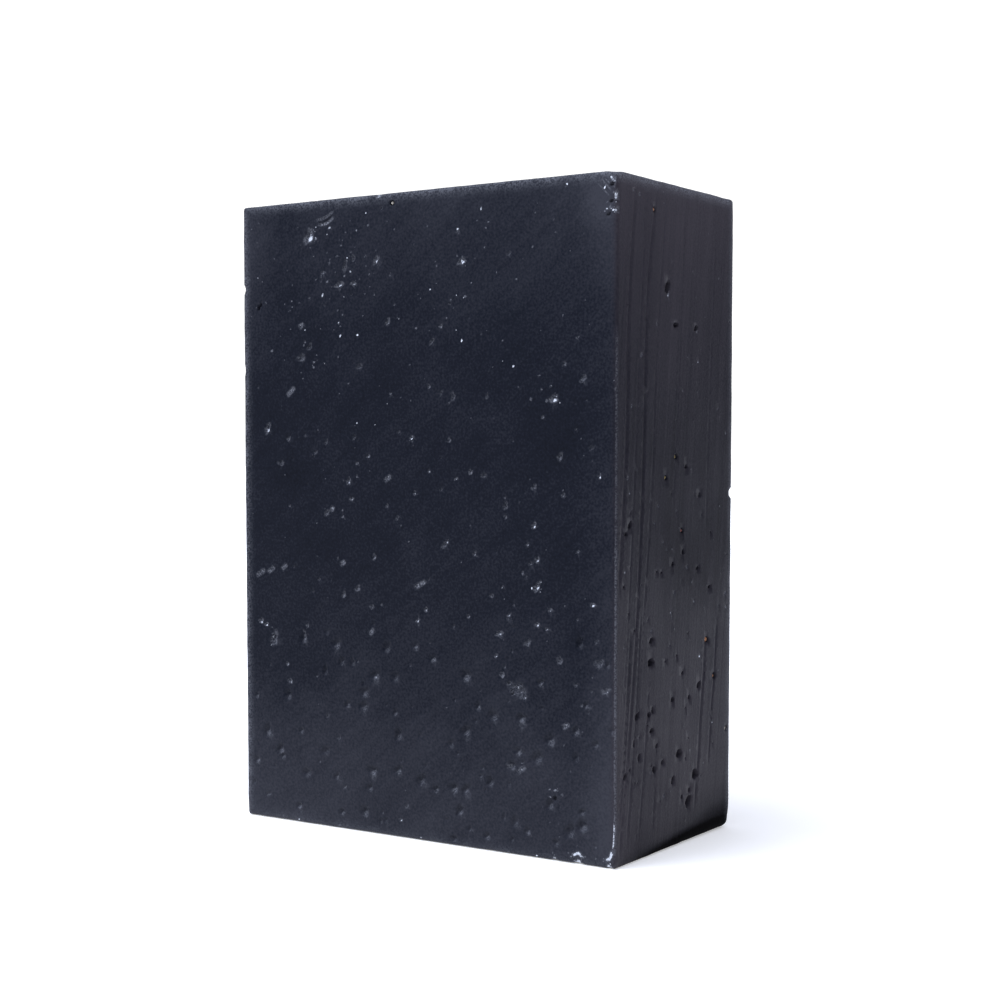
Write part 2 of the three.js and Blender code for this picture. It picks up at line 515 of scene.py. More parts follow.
@dataclass
class CastFace:
    """One face of the block, with its marks and its share of the mesh.

    Attributes:
        side: Which face it is.
        marks: Its small marks.
        scores: Its grooves and ridges.
        grid: Distance between plain mesh points, across and up.
        lean: How far its mesh columns lean across for each millimetre up.
        swell: Height of its slow unevenness.
        striation: Height of the fine drag lines.
        dragged: How much of the cutter's drag shows, from nought to one.
        ring_step: Aimed distance between mesh points round a mark.
        plane: Its plane on the squared block.
    """

    side: Side
    marks: list[Mark] = field(default_factory=list)
    scores: list[Score] = field(default_factory=list)
    grid: tuple[float, float] = (1.2, 1.2)
    lean: float = 0.0
    swell: float = 0.05
    striation: float = 0.0
    dragged: float = 0.0
    ring_step: float = 0.2
    plane: FacePlane = field(init=False)

    EDGE_STEP = 0.55  # mm between mesh points along an edge
    EDGE_ROWS = (0.14, 0.34, 0.62, 1.0, 1.6)  # mm in from an edge, the rows that carry its rounding
    HEEL_ROWS = (2.1, 2.6)  # mm, two more for the widest rounding, at the heel
    KEEP_OFF_EDGE = 0.06  # mm beside an edge that marks put no mesh points in
    CROWDED_MARK = 1.35  # radii round a mark that plain mesh points keep out of
    CROWDED_SCORE = 2.2  # the same for a groove or ridge, in half widths
    LONG_SWELL, SHORT_SWELL = 17.0, 4.5  # mm, sizes of its slow unevenness
    FINE_LINE, BROAD_LINE = 1.1, 3.1  # mm, pitches of the drag lines

    def __post_init__(self) -> None:
        """Find the face's plane."""
        self.plane = face_plane(self.side)

    def straighten(self, flat: np.ndarray) -> np.ndarray:
        """Shift places so that the leaning drag lines run straight up."""
        straight = flat.copy()
        straight[:, 0] -= self.lean * (flat[:, 1] - self.plane.height / 2)
        return straight

    def rim(self) -> np.ndarray:
        """Give the points round the face's edge, in order, starting at its corner."""
        width, height = self.plane.width, self.plane.height
        across = np.linspace(0, width, self._edge_count(width) + 1)
        up = np.linspace(0, height, self._edge_count(height) + 1)
        low = np.stack([across[:-1], across[:-1] * 0], 1)
        right = np.stack([up[:-1] * 0 + width, up[:-1]], 1)
        high = np.stack([across[:0:-1], across[:0:-1] * 0 + height], 1)
        left = np.stack([up[:0:-1] * 0, up[:0:-1]], 1)
        return np.concatenate([low, right, high, left])

    def _edge_count(self, length: float) -> int:
        """Give how many steps an edge of some length has, the same on both of its faces."""
        return int(round(length / self.EDGE_STEP))

    def _edge_rows(self) -> np.ndarray:
        """Lay rows of points beside each edge, which carry its rounding."""
        width, height = self.plane.width, self.plane.height
        rows = []
        for inset in self.EDGE_ROWS + self.HEEL_ROWS:
            across = np.linspace(inset, width - inset, self._edge_count(width))
            up = np.linspace(inset, height - inset, self._edge_count(height))
            steps = 1 if inset < self.EDGE_ROWS[-1] else 2
            across, up = across[::steps], up[::steps]
            rows += [
                np.stack([across, across * 0 + inset], 1),
                np.stack([across, across * 0 + height - inset], 1),
                np.stack([up * 0 + inset, up], 1),
                np.stack([up * 0 + width - inset, up], 1),
            ]
        return np.concatenate(rows)

    def _grid_points(self, draw: np.random.Generator) -> np.ndarray:
        """Lay the plain points of the face, in leaning columns where it was dragged.

        Args:
            draw: Source of random numbers.

        Returns:
            Places (across, up).
        """
        width, height = self.plane.width, self.plane.height
        step_across, step_up = self.grid
        spare = abs(self.lean) * height / 2
        across = np.arange(-spare + step_across / 2, width + spare, step_across)
        up = np.arange(step_up / 2, height, step_up)
        flat = np.stack(np.meshgrid(across, up), axis=-1).reshape(-1, 2)
        if not self.striation:
            flat += draw.uniform(-0.3, 0.3, flat.shape) * [step_across, step_up]
        flat[:, 0] += self.lean * (flat[:, 1] - height / 2)
        inset = self.EDGE_ROWS[-1] + 0.3
        inside = (flat > inset) & (flat < [width - inset, height - inset])
        return flat[inside.all(axis=1)]

    def triangulate(self, draw: np.random.Generator) -> tuple[np.ndarray, np.ndarray]:
        """Make the face's own triangles.

        Args:
            draw: Source of random numbers.

        Returns:
            Places (across, up) and the corner numbers of each triangle, anticlockwise from outside.
        """
        rim = self.rim()
        plain = np.concatenate([self._grid_points(draw), self._edge_rows()])
        fine = [mark.ring_points(self.ring_step) for mark in self.marks]
        fine += [score.mesh_points() for score in self.scores]
        crowded = np.zeros(len(plain), bool)
        for mark in self.marks:
            crowded |= np.hypot(*(plain - [mark.across, mark.up]).T) < mark.radius * self.CROWDED_MARK
        for score in self.scores:
            crowded |= score.nearest(plain)[0] < score.half_width * self.CROWDED_SCORE
        inner = np.concatenate([plain[~crowded], *fine])
        limit = self.KEEP_OFF_EDGE
        size = np.array([self.plane.width, self.plane.height])
        inner = inner[((inner > limit) & (inner < size - limit)).all(axis=1)]
        inner = np.unique(np.round(inner, 2), axis=0)  # no two points nearer than a hundredth
        flat = np.concatenate([rim, inner])
        loop = [(i, (i + 1) % len(rim)) for i in range(len(rim))]
        straight = [Vector(p) for p in self.straighten(flat)]
        _, _, triangles, sources, *_ = delaunay_2d_cdt(straight, loop, [], INSIDE_LOOP, 1e-4, True)
        kept = flat[[source[0] for source in sources]]
        corners = np.array(triangles)
        one, two, three = (kept[corners[:, i]] for i in range(3))
        area = (two[:, 0] - one[:, 0]) * (three[:, 1] - one[:, 1])
        area -= (two[:, 1] - one[:, 1]) * (three[:, 0] - one[:, 0])
        return kept, corners[area > 1e-9]

    def relief(self, flat: np.ndarray) -> tuple[np.ndarray, np.ndarray]:
        """Work out the height and paleness of the face.

        Args:
            flat: Places (across, up).

        Returns:
            The height over the flat face, nought or less, and the paleness of each place.
        """
        seed = 10.0 * list(Side).index(self.side)
        height = self.swell * (noise_at(flat, self.LONG_SWELL, seed) - 1)
        height += 0.3 * self.swell * noise_at(flat, self.SHORT_SWELL, seed + 3)
        if self.striation:
            straight = self.straighten(flat)
            lines = np.stack([straight[:, 0], straight[:, 1] * 0.02], axis=1)
            fine = noise_at(lines, self.FINE_LINE, seed + 5)
            broad = noise_at(lines, self.BROAD_LINE, seed + 7)
            height += self.striation * (fine + 1.3 * broad - 1)
        bowls = np.zeros(len(flat))
        rims = np.zeros(len(flat))
        pale = np.zeros(len(flat))
        for mark in self.marks:
            near = np.nonzero(np.hypot(*(flat - [mark.across, mark.up]).T) < mark.reach)[0]
            if len(near):
                self._lay(mark.relief(flat[near]), near, bowls, rims, pale)
        for score in self.scores:
            line = np.array(score.points)
            low, high = line.min(0) - 1, line.max(0) + 1
            near = np.nonzero(((flat > low) & (flat < high)).all(axis=1))[0]
            if len(near):
                self._lay(score.relief(flat[near]), near, bowls, rims, pale)
        return np.minimum(height + bowls + rims, 0), pale

    @staticmethod
    def _lay(
        relief: tuple[np.ndarray, np.ndarray, np.ndarray],
        near: np.ndarray,
        bowls: np.ndarray,
        rims: np.ndarray,
        pale: np.ndarray,
    ) -> None:
        """Add one mark's relief to a face's running totals.

        Args:
            relief: The mark's bowl, rim and paleness.
            near: Numbers of the places it reaches.
            bowls: Running heights, where the deeper of two bowls wins.
            rims: Running rim heights, where the higher wins.
            pale: Running paleness or painted shade, where the stronger wins.
        """
        bowl, rim, light = relief
        bowls[near] = np.where(bowl > 0, bowls[near] + bowl, np.minimum(bowls[near], bowl))
        rims[near] = np.maximum(rims[near], rim)
        pale[near] = np.where(np.abs(light) > np.abs(pale[near]), light, pale[near])


@dataclass(frozen=True)
class Cloud:
    """A soft cloud in the skin: painted sheen where it is lighter, painted shade where it is darker.

    Attributes:
        centre: Its middle, on the squared block.
        spread: How far it reaches along x, y and z.
        strength: How much lighter it is, as painted sheen, or darker, as painted shade, if less than nought.
    """

    centre: tuple[float, float, float]
    spread: tuple[float, float, float]
    strength: float

    def tone(self, points: np.ndarray) -> np.ndarray:
        """Give what the cloud adds to the tone of each point."""
        share = np.linalg.norm((points - self.centre) / self.spread, axis=1)
        return self.strength * smoothstep(1, 0, share)


@dataclass
class CastBlock:
    """The block: six faces joined into one closed mesh.

    Attributes:
        faces: The six faces.
        chips: Chips and bruises at edges and corners.
        clouds: Clouds of painted sheen and painted shade.
        edges: Radius of each edge at its two ends and how pale it is, partly wear and partly painted edge
            highlight, by the two faces that meet in it.
        wear: How unevenly the edges are worn.
    """

    faces: list[CastFace]
    chips: list[Chip]
    clouds: list[Cloud]
    edges: dict[frozenset[Side], tuple[float, float, float]]
    wear: float = 0.3

    BLEND = 1.3  # mm below a face over which its relief fades out
    EDGE_REACH = 1.6  # mm from an edge over which its own radius counts
    EDGE_PALE_WIDTH = 0.9  # mm, how far the paleness of an edge spreads, partly wear and partly painted edge highlight
    MOST_EDGE_PALE = 0.85  # the palest that an edge is
    WEAR_SIZE = 2.2  # mm, size of the unevenness of a worn edge
    MOST_WORN = 0.6  # mm, the radius past which more rounding isn't worn more unevenly
    EDGE_PALE_PATCH = 1.7  # mm, size of the patches in a pale edge

    def _worn(self, points: np.ndarray) -> tuple[np.ndarray, np.ndarray]:
        """Give the rounding radius that applies at each point, that of the nearest edge, and its paleness,
        partly wear and partly painted edge highlight.

        Args:
            points: Places on the squared block.

        Returns:
            The radius and the paleness at each place.
        """
        total = np.full(len(points), 1e-9)
        radius = np.full(len(points), 0.5e-9)
        ash_and_highlight = np.zeros(len(points))
        for pair, (start, end, rub_and_highlight) in self.edges.items():
            one, two = (face_plane(side) for side in sorted(pair, key=lambda side: side.value))
            away = np.hypot(one.flatten(points)[1], two.flatten(points)[1])
            run = np.abs(np.cross(one.outward, two.outward))
            along = (points - [-HALF_WIDTH, -HALF_DEPTH, 0]) @ run
            share = along / float(np.array([WIDTH, DEPTH, HEIGHT]) @ run)
            weight = np.exp(-((away / self.EDGE_REACH) ** 2))
            total += weight
            radius += weight * (start + (end - start) * share)
            ash_and_highlight = np.maximum(ash_and_highlight, rub_and_highlight * np.exp(-((away / self.EDGE_PALE_WIDTH) ** 2)))
        radius = radius / total
        radius += np.minimum(radius, self.MOST_WORN) * self.wear * noise_at(points, self.WEAR_SIZE, 50.0)
        ash_and_highlight = ash_and_highlight * (1 + 0.5 * noise_at(points, self.EDGE_PALE_PATCH, 70.0))
        return radius, np.minimum(ash_and_highlight, self.MOST_EDGE_PALE)

    @staticmethod
    def _rounded(points: np.ndarray, radius: np.ndarray) -> np.ndarray:
        """Round the edges and corners of the squared block.

        Args:
            points: Places on the squared block.
            radius: The rounding radius that applies at each.

        Returns:
            The same places on the rounded one.
        """
        radius = radius[:, None]
        centre = np.array([0, 0, HEIGHT / 2])
        half = np.array([HALF_WIDTH, HALF_DEPTH, HEIGHT / 2])
        offset = points - centre
        core = np.clip(offset, -(half - radius), half - radius)
        spoke = offset - core
        return centre + core + spoke / np.linalg.norm(spoke, axis=1)[:, None] * radius

    def _shape(self, points: np.ndarray) -> tuple[np.ndarray, dict[str, np.ndarray]]:
        """Move the squared block's points to where the real surface is.

        Args:
            points: Places on the squared block.

        Returns:
            The real places, and at each its paleness, its painted shade, its tone, which is painted sheen and
            painted shade, and its share of the cutter's drag.
        """
        radius, pale = self._worn(points)
        placed = self._rounded(points, radius)
        dragged = np.zeros(len(points))
        for face in self.faces:
            flat, below = face.plane.flatten(points)
            near = np.nonzero(below < self.BLEND)[0]
            height, light = face.relief(flat[near])
            share = smoothstep(self.BLEND, 0, below[near])
            placed[near] += (height * share)[:, None] * face.plane.outward
            light = light * share**6
            pale[near] = np.where(np.abs(light) > np.abs(pale[near]), light, pale[near])
            dragged[near] += face.dragged * share**2
        for chip in self.chips:
            moved, light = chip.relief(points)
            placed += moved
            pale = np.maximum(pale, light)
        # Tone is painted sheen where it is above nought and painted shade where it is below
        tone = sum(cloud.tone(points) for cloud in self.clouds)
        placed = np.clip(placed, BLOCK_LOW, BLOCK_HIGH)
        layers = {"pale": np.maximum(pale, 0), "painted_shade": np.clip(-pale, 0, 1), "tone": tone, "dragged": dragged}
        return placed, layers

    def build(self, draw: np.random.Generator) -> bpy.types.Object:
        """Make the block's mesh.

        Args:
            draw: Source of random numbers.

        Returns:
            The block, with its paleness, painted shade, tone and drag stored at its points.
        """
        places, triangles, count = [], [], 0
        for face in self.faces:
            flat, corners = face.triangulate(draw)
            places.append(face.plane.place(flat))
            triangles.append(corners + count)
            count += len(flat)
        everywhere = np.concatenate(places)
        _, first, same = np.unique(np.round(everywhere, 3), axis=0, return_index=True, return_inverse=True)
        same = same.reshape(-1)
        points = everywhere[first]
        corners = same[np.concatenate(triangles)]
        placed, layers = self._shape(points)
        mesh = bpy.data.meshes.new("cast_block")
        mesh.from_pydata((placed * MM).tolist(), [], corners.tolist())
        for name, values in layers.items():
            layer = mesh.attributes.new(name, "FLOAT", "POINT")
            layer.data.foreach_set("value", values.astype(np.float32))
        mesh.shade_smooth()
        block = bpy.data.objects.new("cast_block", mesh)
        bpy.context.scene.collection.objects.link(block)
        LOG.info("cast_block: %d points, %d triangles", len(points), len(corners))
        return block


# Landmarks of the front face: x and z of each, by radius
PLUCKED = {
    0.85: ((-19, 84), (-26, 26.5)),
    0.6: (
        *((-12.5, 79.5), (-7, 80), (-13.5, 77), (7.5, 79), (-20.5, 67), (-27, 57), (19.5, 36), (29, 26.5)),
        (22, 60.5),
    ),
    0.45: (
        *((-11, 80.5), (-11, 77), (-5, 71.5), (-19, 68.5), (-10, 65.5), (6, 61), (-24.5, 52), (-12, 49.5)),
        *((-16, 45), (23, 53), (19, 49), (14.5, 46.5), (19, 44), (19.5, 39.5), (13.5, 29.5), (19.5, 31)),
        *((-28.5, 29), (-20.5, 27.5), (23, 26.5), (14, 24), (30, 23), (-23, 20.5), (-10.5, 34.5), (-8, 32)),
        *((-13, 33.5), (4.5, 41), (-7.5, 39), (26.5, 63), (2.5, 68.5), (11, 50.5), (18, 28.5), (15, 12)),
    ),
    0.3: (
        *((-30.5, 78.5), (4, 70.5), (15, 79.5), (11.5, 61), (2, 62.5), (4, 61.5), (-23, 55.5), (-16, 55)),
        *((-18, 53.5), (-8.5, 53), (-10.5, 52), (-11.5, 47), (-1, 55.5), (2, 51), (6.5, 50), (4, 48.5)),
        *((-0.5, 48), (-3.5, 44.5), (9.5, 40), (-17.5, 35.5), (0, 30.5), (6, 30), (8.5, 31.5), (-27.5, 28.5)),
        *((29, 50.5), (23.5, 48), (14.5, 45), (18, 41.5), (5, 41.5), (18.5, 39), (21.5, 33), (28, 34)),
        *((15, 32), (21, 30.5), (13, 26.5), (25.5, 23.5), (8, 23.5), (-23.5, 23), (-16, 16), (-14, 13)),
        *((-27.5, 3.5), (-2, 4.5), (-3, 2.5), (-13, 6), (-6, 87), (-20.5, 71.5)),
    ),
}
SMEARED = (  # plucked matter dragged into a streak: x, z, length, direction in degrees
    *((-22.5, 62.2, 2.2, 40), (-20.5, 71.5, 1.3, 35), (7, 83, 1.2, 50), (-13, 38, 1.6, 30)),
    *((-26.5, 36.5, 1.8, 35), (-24, 37, 1.5, 35), (0.5, 35.5, 2.6, 25), (-15, 45.5, 1.2, 60)),
    *((-5, 50, 1.8, 30), (24, 18, 1.4, 30), (17, 11.5, 2.0, 35), (-8, 28.5, 1.4, 40), (-28.5, 36, 2.2, 30)),
)
FRONT_BUBBLES = {
    1.05: ((26.5, 5.2), (24.6, 4.3), (19.5, 13.5)),
    0.9: (
        *((-20.5, 27), (-14.5, 26.5), (-5.5, 26.5), (-4, 22.5), (-7.5, 22.5), (-23.5, 18.5), (-9.5, 20)),
        *((-9.5, 18), (8, 23.5), (-27.5, 13), (-25, 10.5), (-16.5, 11), (-3.5, 14.5), (8, 16), (-8, 9)),
        *((-20, 7.5), (-3.5, 9.5), (0.5, 8.5), (6, 8), (12, 9.5), (-9.5, 3), (7, 5), (12.5, 18.5)),
        *((21.5, 16), (15.5, 12), (21.5, 7.5), (16, 4.5), (17, 18.5), (26, 29), (8, 8)),
    ),
    0.65: (
        *((-11.5, 24), (-13.5, 24), (-0.5, 27), (2.5, 25.5), (-16.5, 22.5), (-29.5, 18), (-12.5, 18)),
        *((10, 19.5), (-4, 17.5), (-21, 13.5), (-29.5, 8.5), (5.5, 14), (-14.5, 7.5), (-8.5, 6.5)),
        *((3, 7.5), (-21.5, 2.5), (-13.5, 2.5), (25.5, 14), (22.5, 2.5), (26.5, 7), (18, 3.5), (28.5, 16)),
        *((16.5, 14), (25.5, 17.5), (31, 18), (11.5, 2), (6, 1), (-24.5, 9.5), (20, 23.5), (27, 21)),
    ),
}
FRONT_CRUMBS = (  # pale crumbs along the foot of the front face and at its top corner
    *((22, 1), (25.1, 1.3), (26.0, 1.5), (26.9, 1.1), (28.6, 1.1), (30.8, 0.7), (19.5, 0.3), (15, 0.3)),
    *((-24.5, 0.6), (-21.5, 0.4), (-14, 0.4), (-12.5, 0.5), (0.5, 0.4), (21.6, 8.4), (30.6, 88.3)),
    *((31.2, 87.6), (31, 86.2), (31.2, 85.4), (30.4, 84.5), (30.9, 84), (29.9, 84.2), (29.6, 86.9)),
    *((24, 87.8),),
)
FRONT_HOLES = {  # small black holes, most of them beside the crumbs of the top corner
    0.3: ((30.6, 85.2), (30.2, 83.6), (30.7, 87.3), (-28.5, 74.4), (-28.1, 74.8), (22.3, 8.3)),
}
TOP_NICKS = (  # short scores under the top edge, as across and up, then half width, depth, lip and paleness
    (((13.6, 86.1), (15.4, 86.4), (17.2, 87.3)), 0.16, 0.1, 0.05, 0.8),
    (((13.9, 85.5), (15.8, 85.6), (17.3, 86.5)), 0.16, 0.1, 0.05, 1.0),
    # Painted shade: a dark line in the groove between the two pale nicks
    (((14.1, 85.8), (15.6, 86.0), (17.0, 86.8)), 0.14, 0.16, 0.0, -0.8),
)
EDGE_LINES = (  # burrs and scratches beside the right edge: distance in from it and z, then as in a Score
    # The pale line down the right edge is partly burr and partly painted edge highlight
    (((0.05, 0.5), (0.05, 25), (0.05, 44)), 0.12, -0.02, 0.0, 0.75, 0.0, 0.4),
    (((0.05, 40), (0.05, 55), (0.05, 70)), 0.1, -0.01, 0.0, 0.5, 0.35, 0.4),
    (((1.7, 0.9), (0.8, 1.4), (0.3, 2.6)), 0.22, -0.05, 0.0, 1.3, 0.0, 0.25),
    (((0.6, 1.6), (0.2, 3.4), (0.06, 7)), 0.13, -0.04, 0.0, 1.2, 0.0, 0.3),
    (((6.6, 0.8), (5.6, 1.5), (4.7, 0.7)), 0.22, -0.05, 0.0, 1.25, 0.0, 0.25),
    (((2.7, 88.3), (0.9, 86.4)), 0.09, 0.06, 0.03, 0.8, 0.0, 0.3),
    (((2.4, 88.6), (0.6, 86.8)), 0.07, 0.04, 0.02, 0.9, 0.0, 0.3),
    (((3.0, 87.6), (1.2, 85.8)), 0.08, 0.05, 0.02, 0.6, 0.0, 0.3),
)

# Landmarks of the narrow face: y and z of each
NARROW_HOLES = {
    0.65: ((-3.1, 75.4), (-7, 25.9), (5.6, 9.2), (3.6, 5.7), (0.9, 12.7)),
    0.42: (
        *((-0.7, 70.5), (5, 70.4), (-12.7, 44.2), (-6.9, 28.8), (6.5, 21.5), (-6.5, 19.5), (-10.5, 19.2)),
        *((-6.7, 16.8), (-10.1, 13.7), (-13.6, 11.7), (-6, 11.5), (-0.8, 9.3), (-7.4, 19), (-1, 20.3)),
    ),
    0.3: (
        *((-13.7, 43.1), (1.8, 23.6), (3.7, 20.1), (-11.4, 15.7), (-5.4, 14.6), (-3.7, 12.2), (3.9, 7.2)),
        *((1.8, 6.6), (1.7, 40.1), (-1.2, 38.6), (5.9, 37.7), (9.4, 34.9), (2.4, 51.6), (6.3, 47.7)),
    ),
}
NARROW_FLECKS = {
    0.3: (
        *((-5.8, 70.4), (-13.3, 50.3), (-10, 66.1), (-1.8, 27.6), (6.7, 25.5), (-3.3, 7.6), (14.3, 33.7)),
        *((14.7, 31.7), (-10.6, 86.6), (-12.1, 87.0), (-2.9, 74.3), (-5.2, 46.5), (2.9, 38), (15.3, 14.2)),
    ),
    0.2: (
        *((-0.4, 57.8), (11.7, 59.6), (14.1, 56.2), (-12.4, 59.5), (-12.8, 48.3), (-7.5, 47.2), (-0.2, 45.7)),
        *((-3.8, 41.6), (-2.8, 40.6), (-0.8, 34.8), (4.9, 33.2), (-1.6, 32.1), (-7, 30.1), (-13.9, 38.2)),
        *((5.7, 65.9), (15, 71.9), (10.6, 15.8), (12.3, 32.1), (-2.7, 74.6), (5.3, 69.9)),
    ),
}
DRAG_GROOVES = (  # the deep drag lines of the narrow face, as y and z, then half width and depth
    (((-11.3, 88), (-11.9, 84.4), (-13.1, 73), (-13.7, 53.8), (-15.5, 34.7)), 0.34, 0.14),
    (((-6.2, 87.5), (-8.4, 73.3), (-9.2, 53.2), (-10.5, 34.3), (-11.9, 21.4), (-15.1, 0.9)), 0.32, 0.13),
    (((-3.5, 87), (-5.9, 66), (-6.9, 50), (-8.9, 33), (-11.3, 12)), 0.25, 0.05),
    (((-8.9, 87), (-10.9, 60), (-12.7, 35), (-14.3, 20)), 0.25, 0.05),
    (((-9.6, 33), (-10.9, 19), (-13.2, 2)), 0.3, 0.1),
    (((-7.4, 24), (-8.6, 13), (-10.2, 2)), 0.25, 0.07),
    (((-12.2, 31), (-12.8, 25), (-13.8, 15.8), (-15.2, 5)), 0.32, 0.12),
    (((-5.6, 10), (-6.4, 3)), 0.25, 0.07),
    (((8.5, 29), (8, 23.2), (7.2, 17.5), (6.5, 10.9), (5.4, 3.9)), 0.32, 0.12),
    (((11.9, 31), (11.1, 22.3), (10.5, 18.5), (10, 14.2), (9.4, 9)), 0.28, 0.09),
    (((1.7, 86), (0.2, 62), (-1.3, 45)), 0.25, 0.03),
    (((10.7, 85), (9.1, 60), (8.3, 42)), 0.25, 0.03),
)
CRUMB_CLUSTERS = (  # on the front face: x, z, spread and how many crumbs
    *((30.9, 87.9, 0.45, 8), (31.0, 85.6, 0.4, 7), (30.3, 84.2, 0.4, 7), (25.6, 1.1, 0.8, 9)),
    *((30.4, 0.8, 0.4, 6), (21.8, 0.6, 0.5, 5), (22.6, 9.0, 0.5, 6), (-12, 80, 4.0, 50), (-16, 70, 5.0, 35)),
    *((10, 74, 9.0, 45), (-18, 84, 0.7, 8), (-26, 26.5, 0.7, 7), (19.5, 36, 0.6, 7), (7.5, 79, 0.5, 6)),
    *((22, 60.5, 0.5, 5),),
)


@dataclass
class BlockDesign:
    """Where the block's marks are and how its faces differ.

    Attributes:
        draw: Source of random numbers.
        grains: The names of the grit grains, each with the face that it sits in.
    """

    draw: np.random.Generator
    grains: dict[str, Side]

    SCRAPE_ANGLE = 0.75  # radians above across, the way that marks are mostly drawn out
    TURN_SPREAD = 1.4  # radians, the range of their directions
    MOST_STRETCH = 0.9  # how much longer than wide a mark may be, as a share of its width
    SOCKET_ROOM = 0.08  # mm round a grain
    SMALL_FAVOUR = 2.5  # power that makes small strewn marks commoner than large ones

    def _mark(
        self,
        kind: MarkKind,
        across: float,
        up: float,
        radius: float,
        depth: float,
        shade: float = 1.0,
    ) -> Mark:
        """Make a mark with a shape of its own, mostly drawn out along the scrape direction.

        Args:
            kind: What it is.
            across: Its place across the face.
            up: Its place up the face.
            radius: Its mean radius, before it is varied.
            depth: Its depth, before it is varied.
            shade: How strongly its paleness shows.

        Returns:
            The mark.
        """
        vary, deep, stretch, turn, phase = self.draw.random(5)
        return Mark(
            kind,
            across,
            up,
            radius * (0.85 + 0.3 * vary),
            depth * (0.8 + 0.4 * deep),
            1 + self.MOST_STRETCH * stretch,
            self.SCRAPE_ANGLE + (turn - 0.5) * self.TURN_SPREAD,
            phase * 2 * math.pi,
            shade,
        )

    def _placed(
        self,
        kind: MarkKind,
        plan: dict[float, tuple],
        edge: float,
        share: float,
        shade: float = 1.0,
    ) -> list[Mark]:
        """Make marks at landmarks.

        Args:
            kind: What they are.
            plan: Their places, by radius.
            edge: What is added to the first coordinate of a place to count it across the face.
            share: Depth as a share of the radius.
            shade: How strongly the paleness shows. It varies from mark to mark.

        Returns:
            The marks.
        """
        marks = []
        for radius, places in plan.items():
            for across, up in places:
                strength = shade * (0.3 + 0.8 * self.draw.random())
                marks.append(self._mark(kind, across + edge, up, radius, radius * share, strength))
        return marks

    def _strewn(
        self,
        kind: MarkKind,
        count: int,
        size: tuple[float, float],
        low: tuple[float, float],
        high: tuple[float, float],
        share: float,
        shade: float = 1.0,
    ) -> list[Mark]:
        """Strew small marks over part of a face.

        Args:
            kind: What they are.
            count: How many.
            size: Their least and greatest radius.
            low: Lowest across and up.
            high: Highest across and up.
            share: Depth as a share of the radius; less than nought stands proud.
            shade: How strongly the paleness shows.

        Returns:
            The marks, small ones more often than large.
        """
        marks = []
        for _ in range(count):
            across, up = self.draw.uniform(low, high)
            radius = size[0] + (size[1] - size[0]) * self.draw.random() ** self.SMALL_FAVOUR
            marks.append(self._mark(kind, across, up, radius, radius * share, shade * self.draw.random()))
        return marks

    def _sockets(self, side: Side) -> list[Mark]:
        """Make the seats of the grains in one face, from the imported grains.

        Args:
            side: Which face.

        Returns:
            One socket for each grain.
        """
        plane = face_plane(side)
        seats = []
        for name, where in self.grains.items():
            if where is side:
                low, high = (np.array(corner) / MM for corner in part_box(name))
                (flat,), (below,) = plane.flatten(((low + high) / 2)[None, :])
                radius = float(max(high - low)) / 2 + self.SOCKET_ROOM
                across, up = float(flat[0]), float(flat[1])
                seats.append(Mark(MarkKind.SOCKET, across, up, radius, float(below) + radius))
        return seats

    def front(self) -> CastFace:
        """Design the broad front face: scraped, plucked above and full of bubbles below."""
        high = (WIDTH - 1, HEIGHT - 1)
        marks = self._placed(MarkKind.TEAR, PLUCKED, HALF_WIDTH, 0.35, 1.25)
        marks += self._placed(MarkKind.DIMPLE, FRONT_BUBBLES, HALF_WIDTH, 0.42)
        marks += self._placed(MarkKind.CRUMB, {0.15: FRONT_CRUMBS}, HALF_WIDTH, -0.2, 1.3)
        marks += self._placed(MarkKind.PINHOLE, FRONT_HOLES, HALF_WIDTH, 1.2)
        marks += self._crater(HALF_WIDTH + 16.5, 22.2)
        marks += self._clusters()
        marks += self._strewn(MarkKind.CRUMB, 110, (0.08, 0.16), (1, 34), high, -0.25)
        marks += self._strewn(MarkKind.CRUMB, 30, (0.08, 0.16), (1, 1), (WIDTH - 1, 34), -0.25, 0.8)
        marks += self._strewn(MarkKind.DIMPLE, 45, (0.3, 0.55), (1, 1), (WIDTH - 1, 30), 0.35, 0.7)
        marks += self._strewn(MarkKind.DIMPLE, 30, (0.25, 0.45), (1, 30), high, 0.2, 0.4)
        marks += self._strewn(MarkKind.TEAR, 55, (0.18, 0.42), (8, 18), (WIDTH - 2, 80), 0.35, 1.1)
        scores = [self._smear(*smear) for smear in SMEARED]
        scores += [Score(line, *form, step=0.3) for line, *form in TOP_NICKS]
        for line, *form in EDGE_LINES:
            scores.append(Score(tuple((WIDTH - inset, z) for inset, z in line), *form))
        marks += self._sockets(Side.FRONT)
        return CastFace(Side.FRONT, marks, scores, (0.85, 0.85), swell=0.04)

    def _clusters(self) -> list[Mark]:
        """Gather crumbs of many sizes where matter broke away from the front face."""
        marks = []
        for x, z, spread, count in CRUMB_CLUSTERS:
            for beside, above in self.draw.normal(0, spread, (count, 2)):
                radius = 0.07 + 0.14 * self.draw.random() ** 2
                across, up = x + beside + HALF_WIDTH, z + above
                if 0.1 < across < WIDTH - 0.1 and 0.1 < up < HEIGHT - 0.1:
                    shade = 0.45 + 0.85 * self.draw.random() ** 1.5
                    marks.append(self._mark(MarkKind.CRUMB, across, up, radius, -0.2 * radius, shade))
        return marks

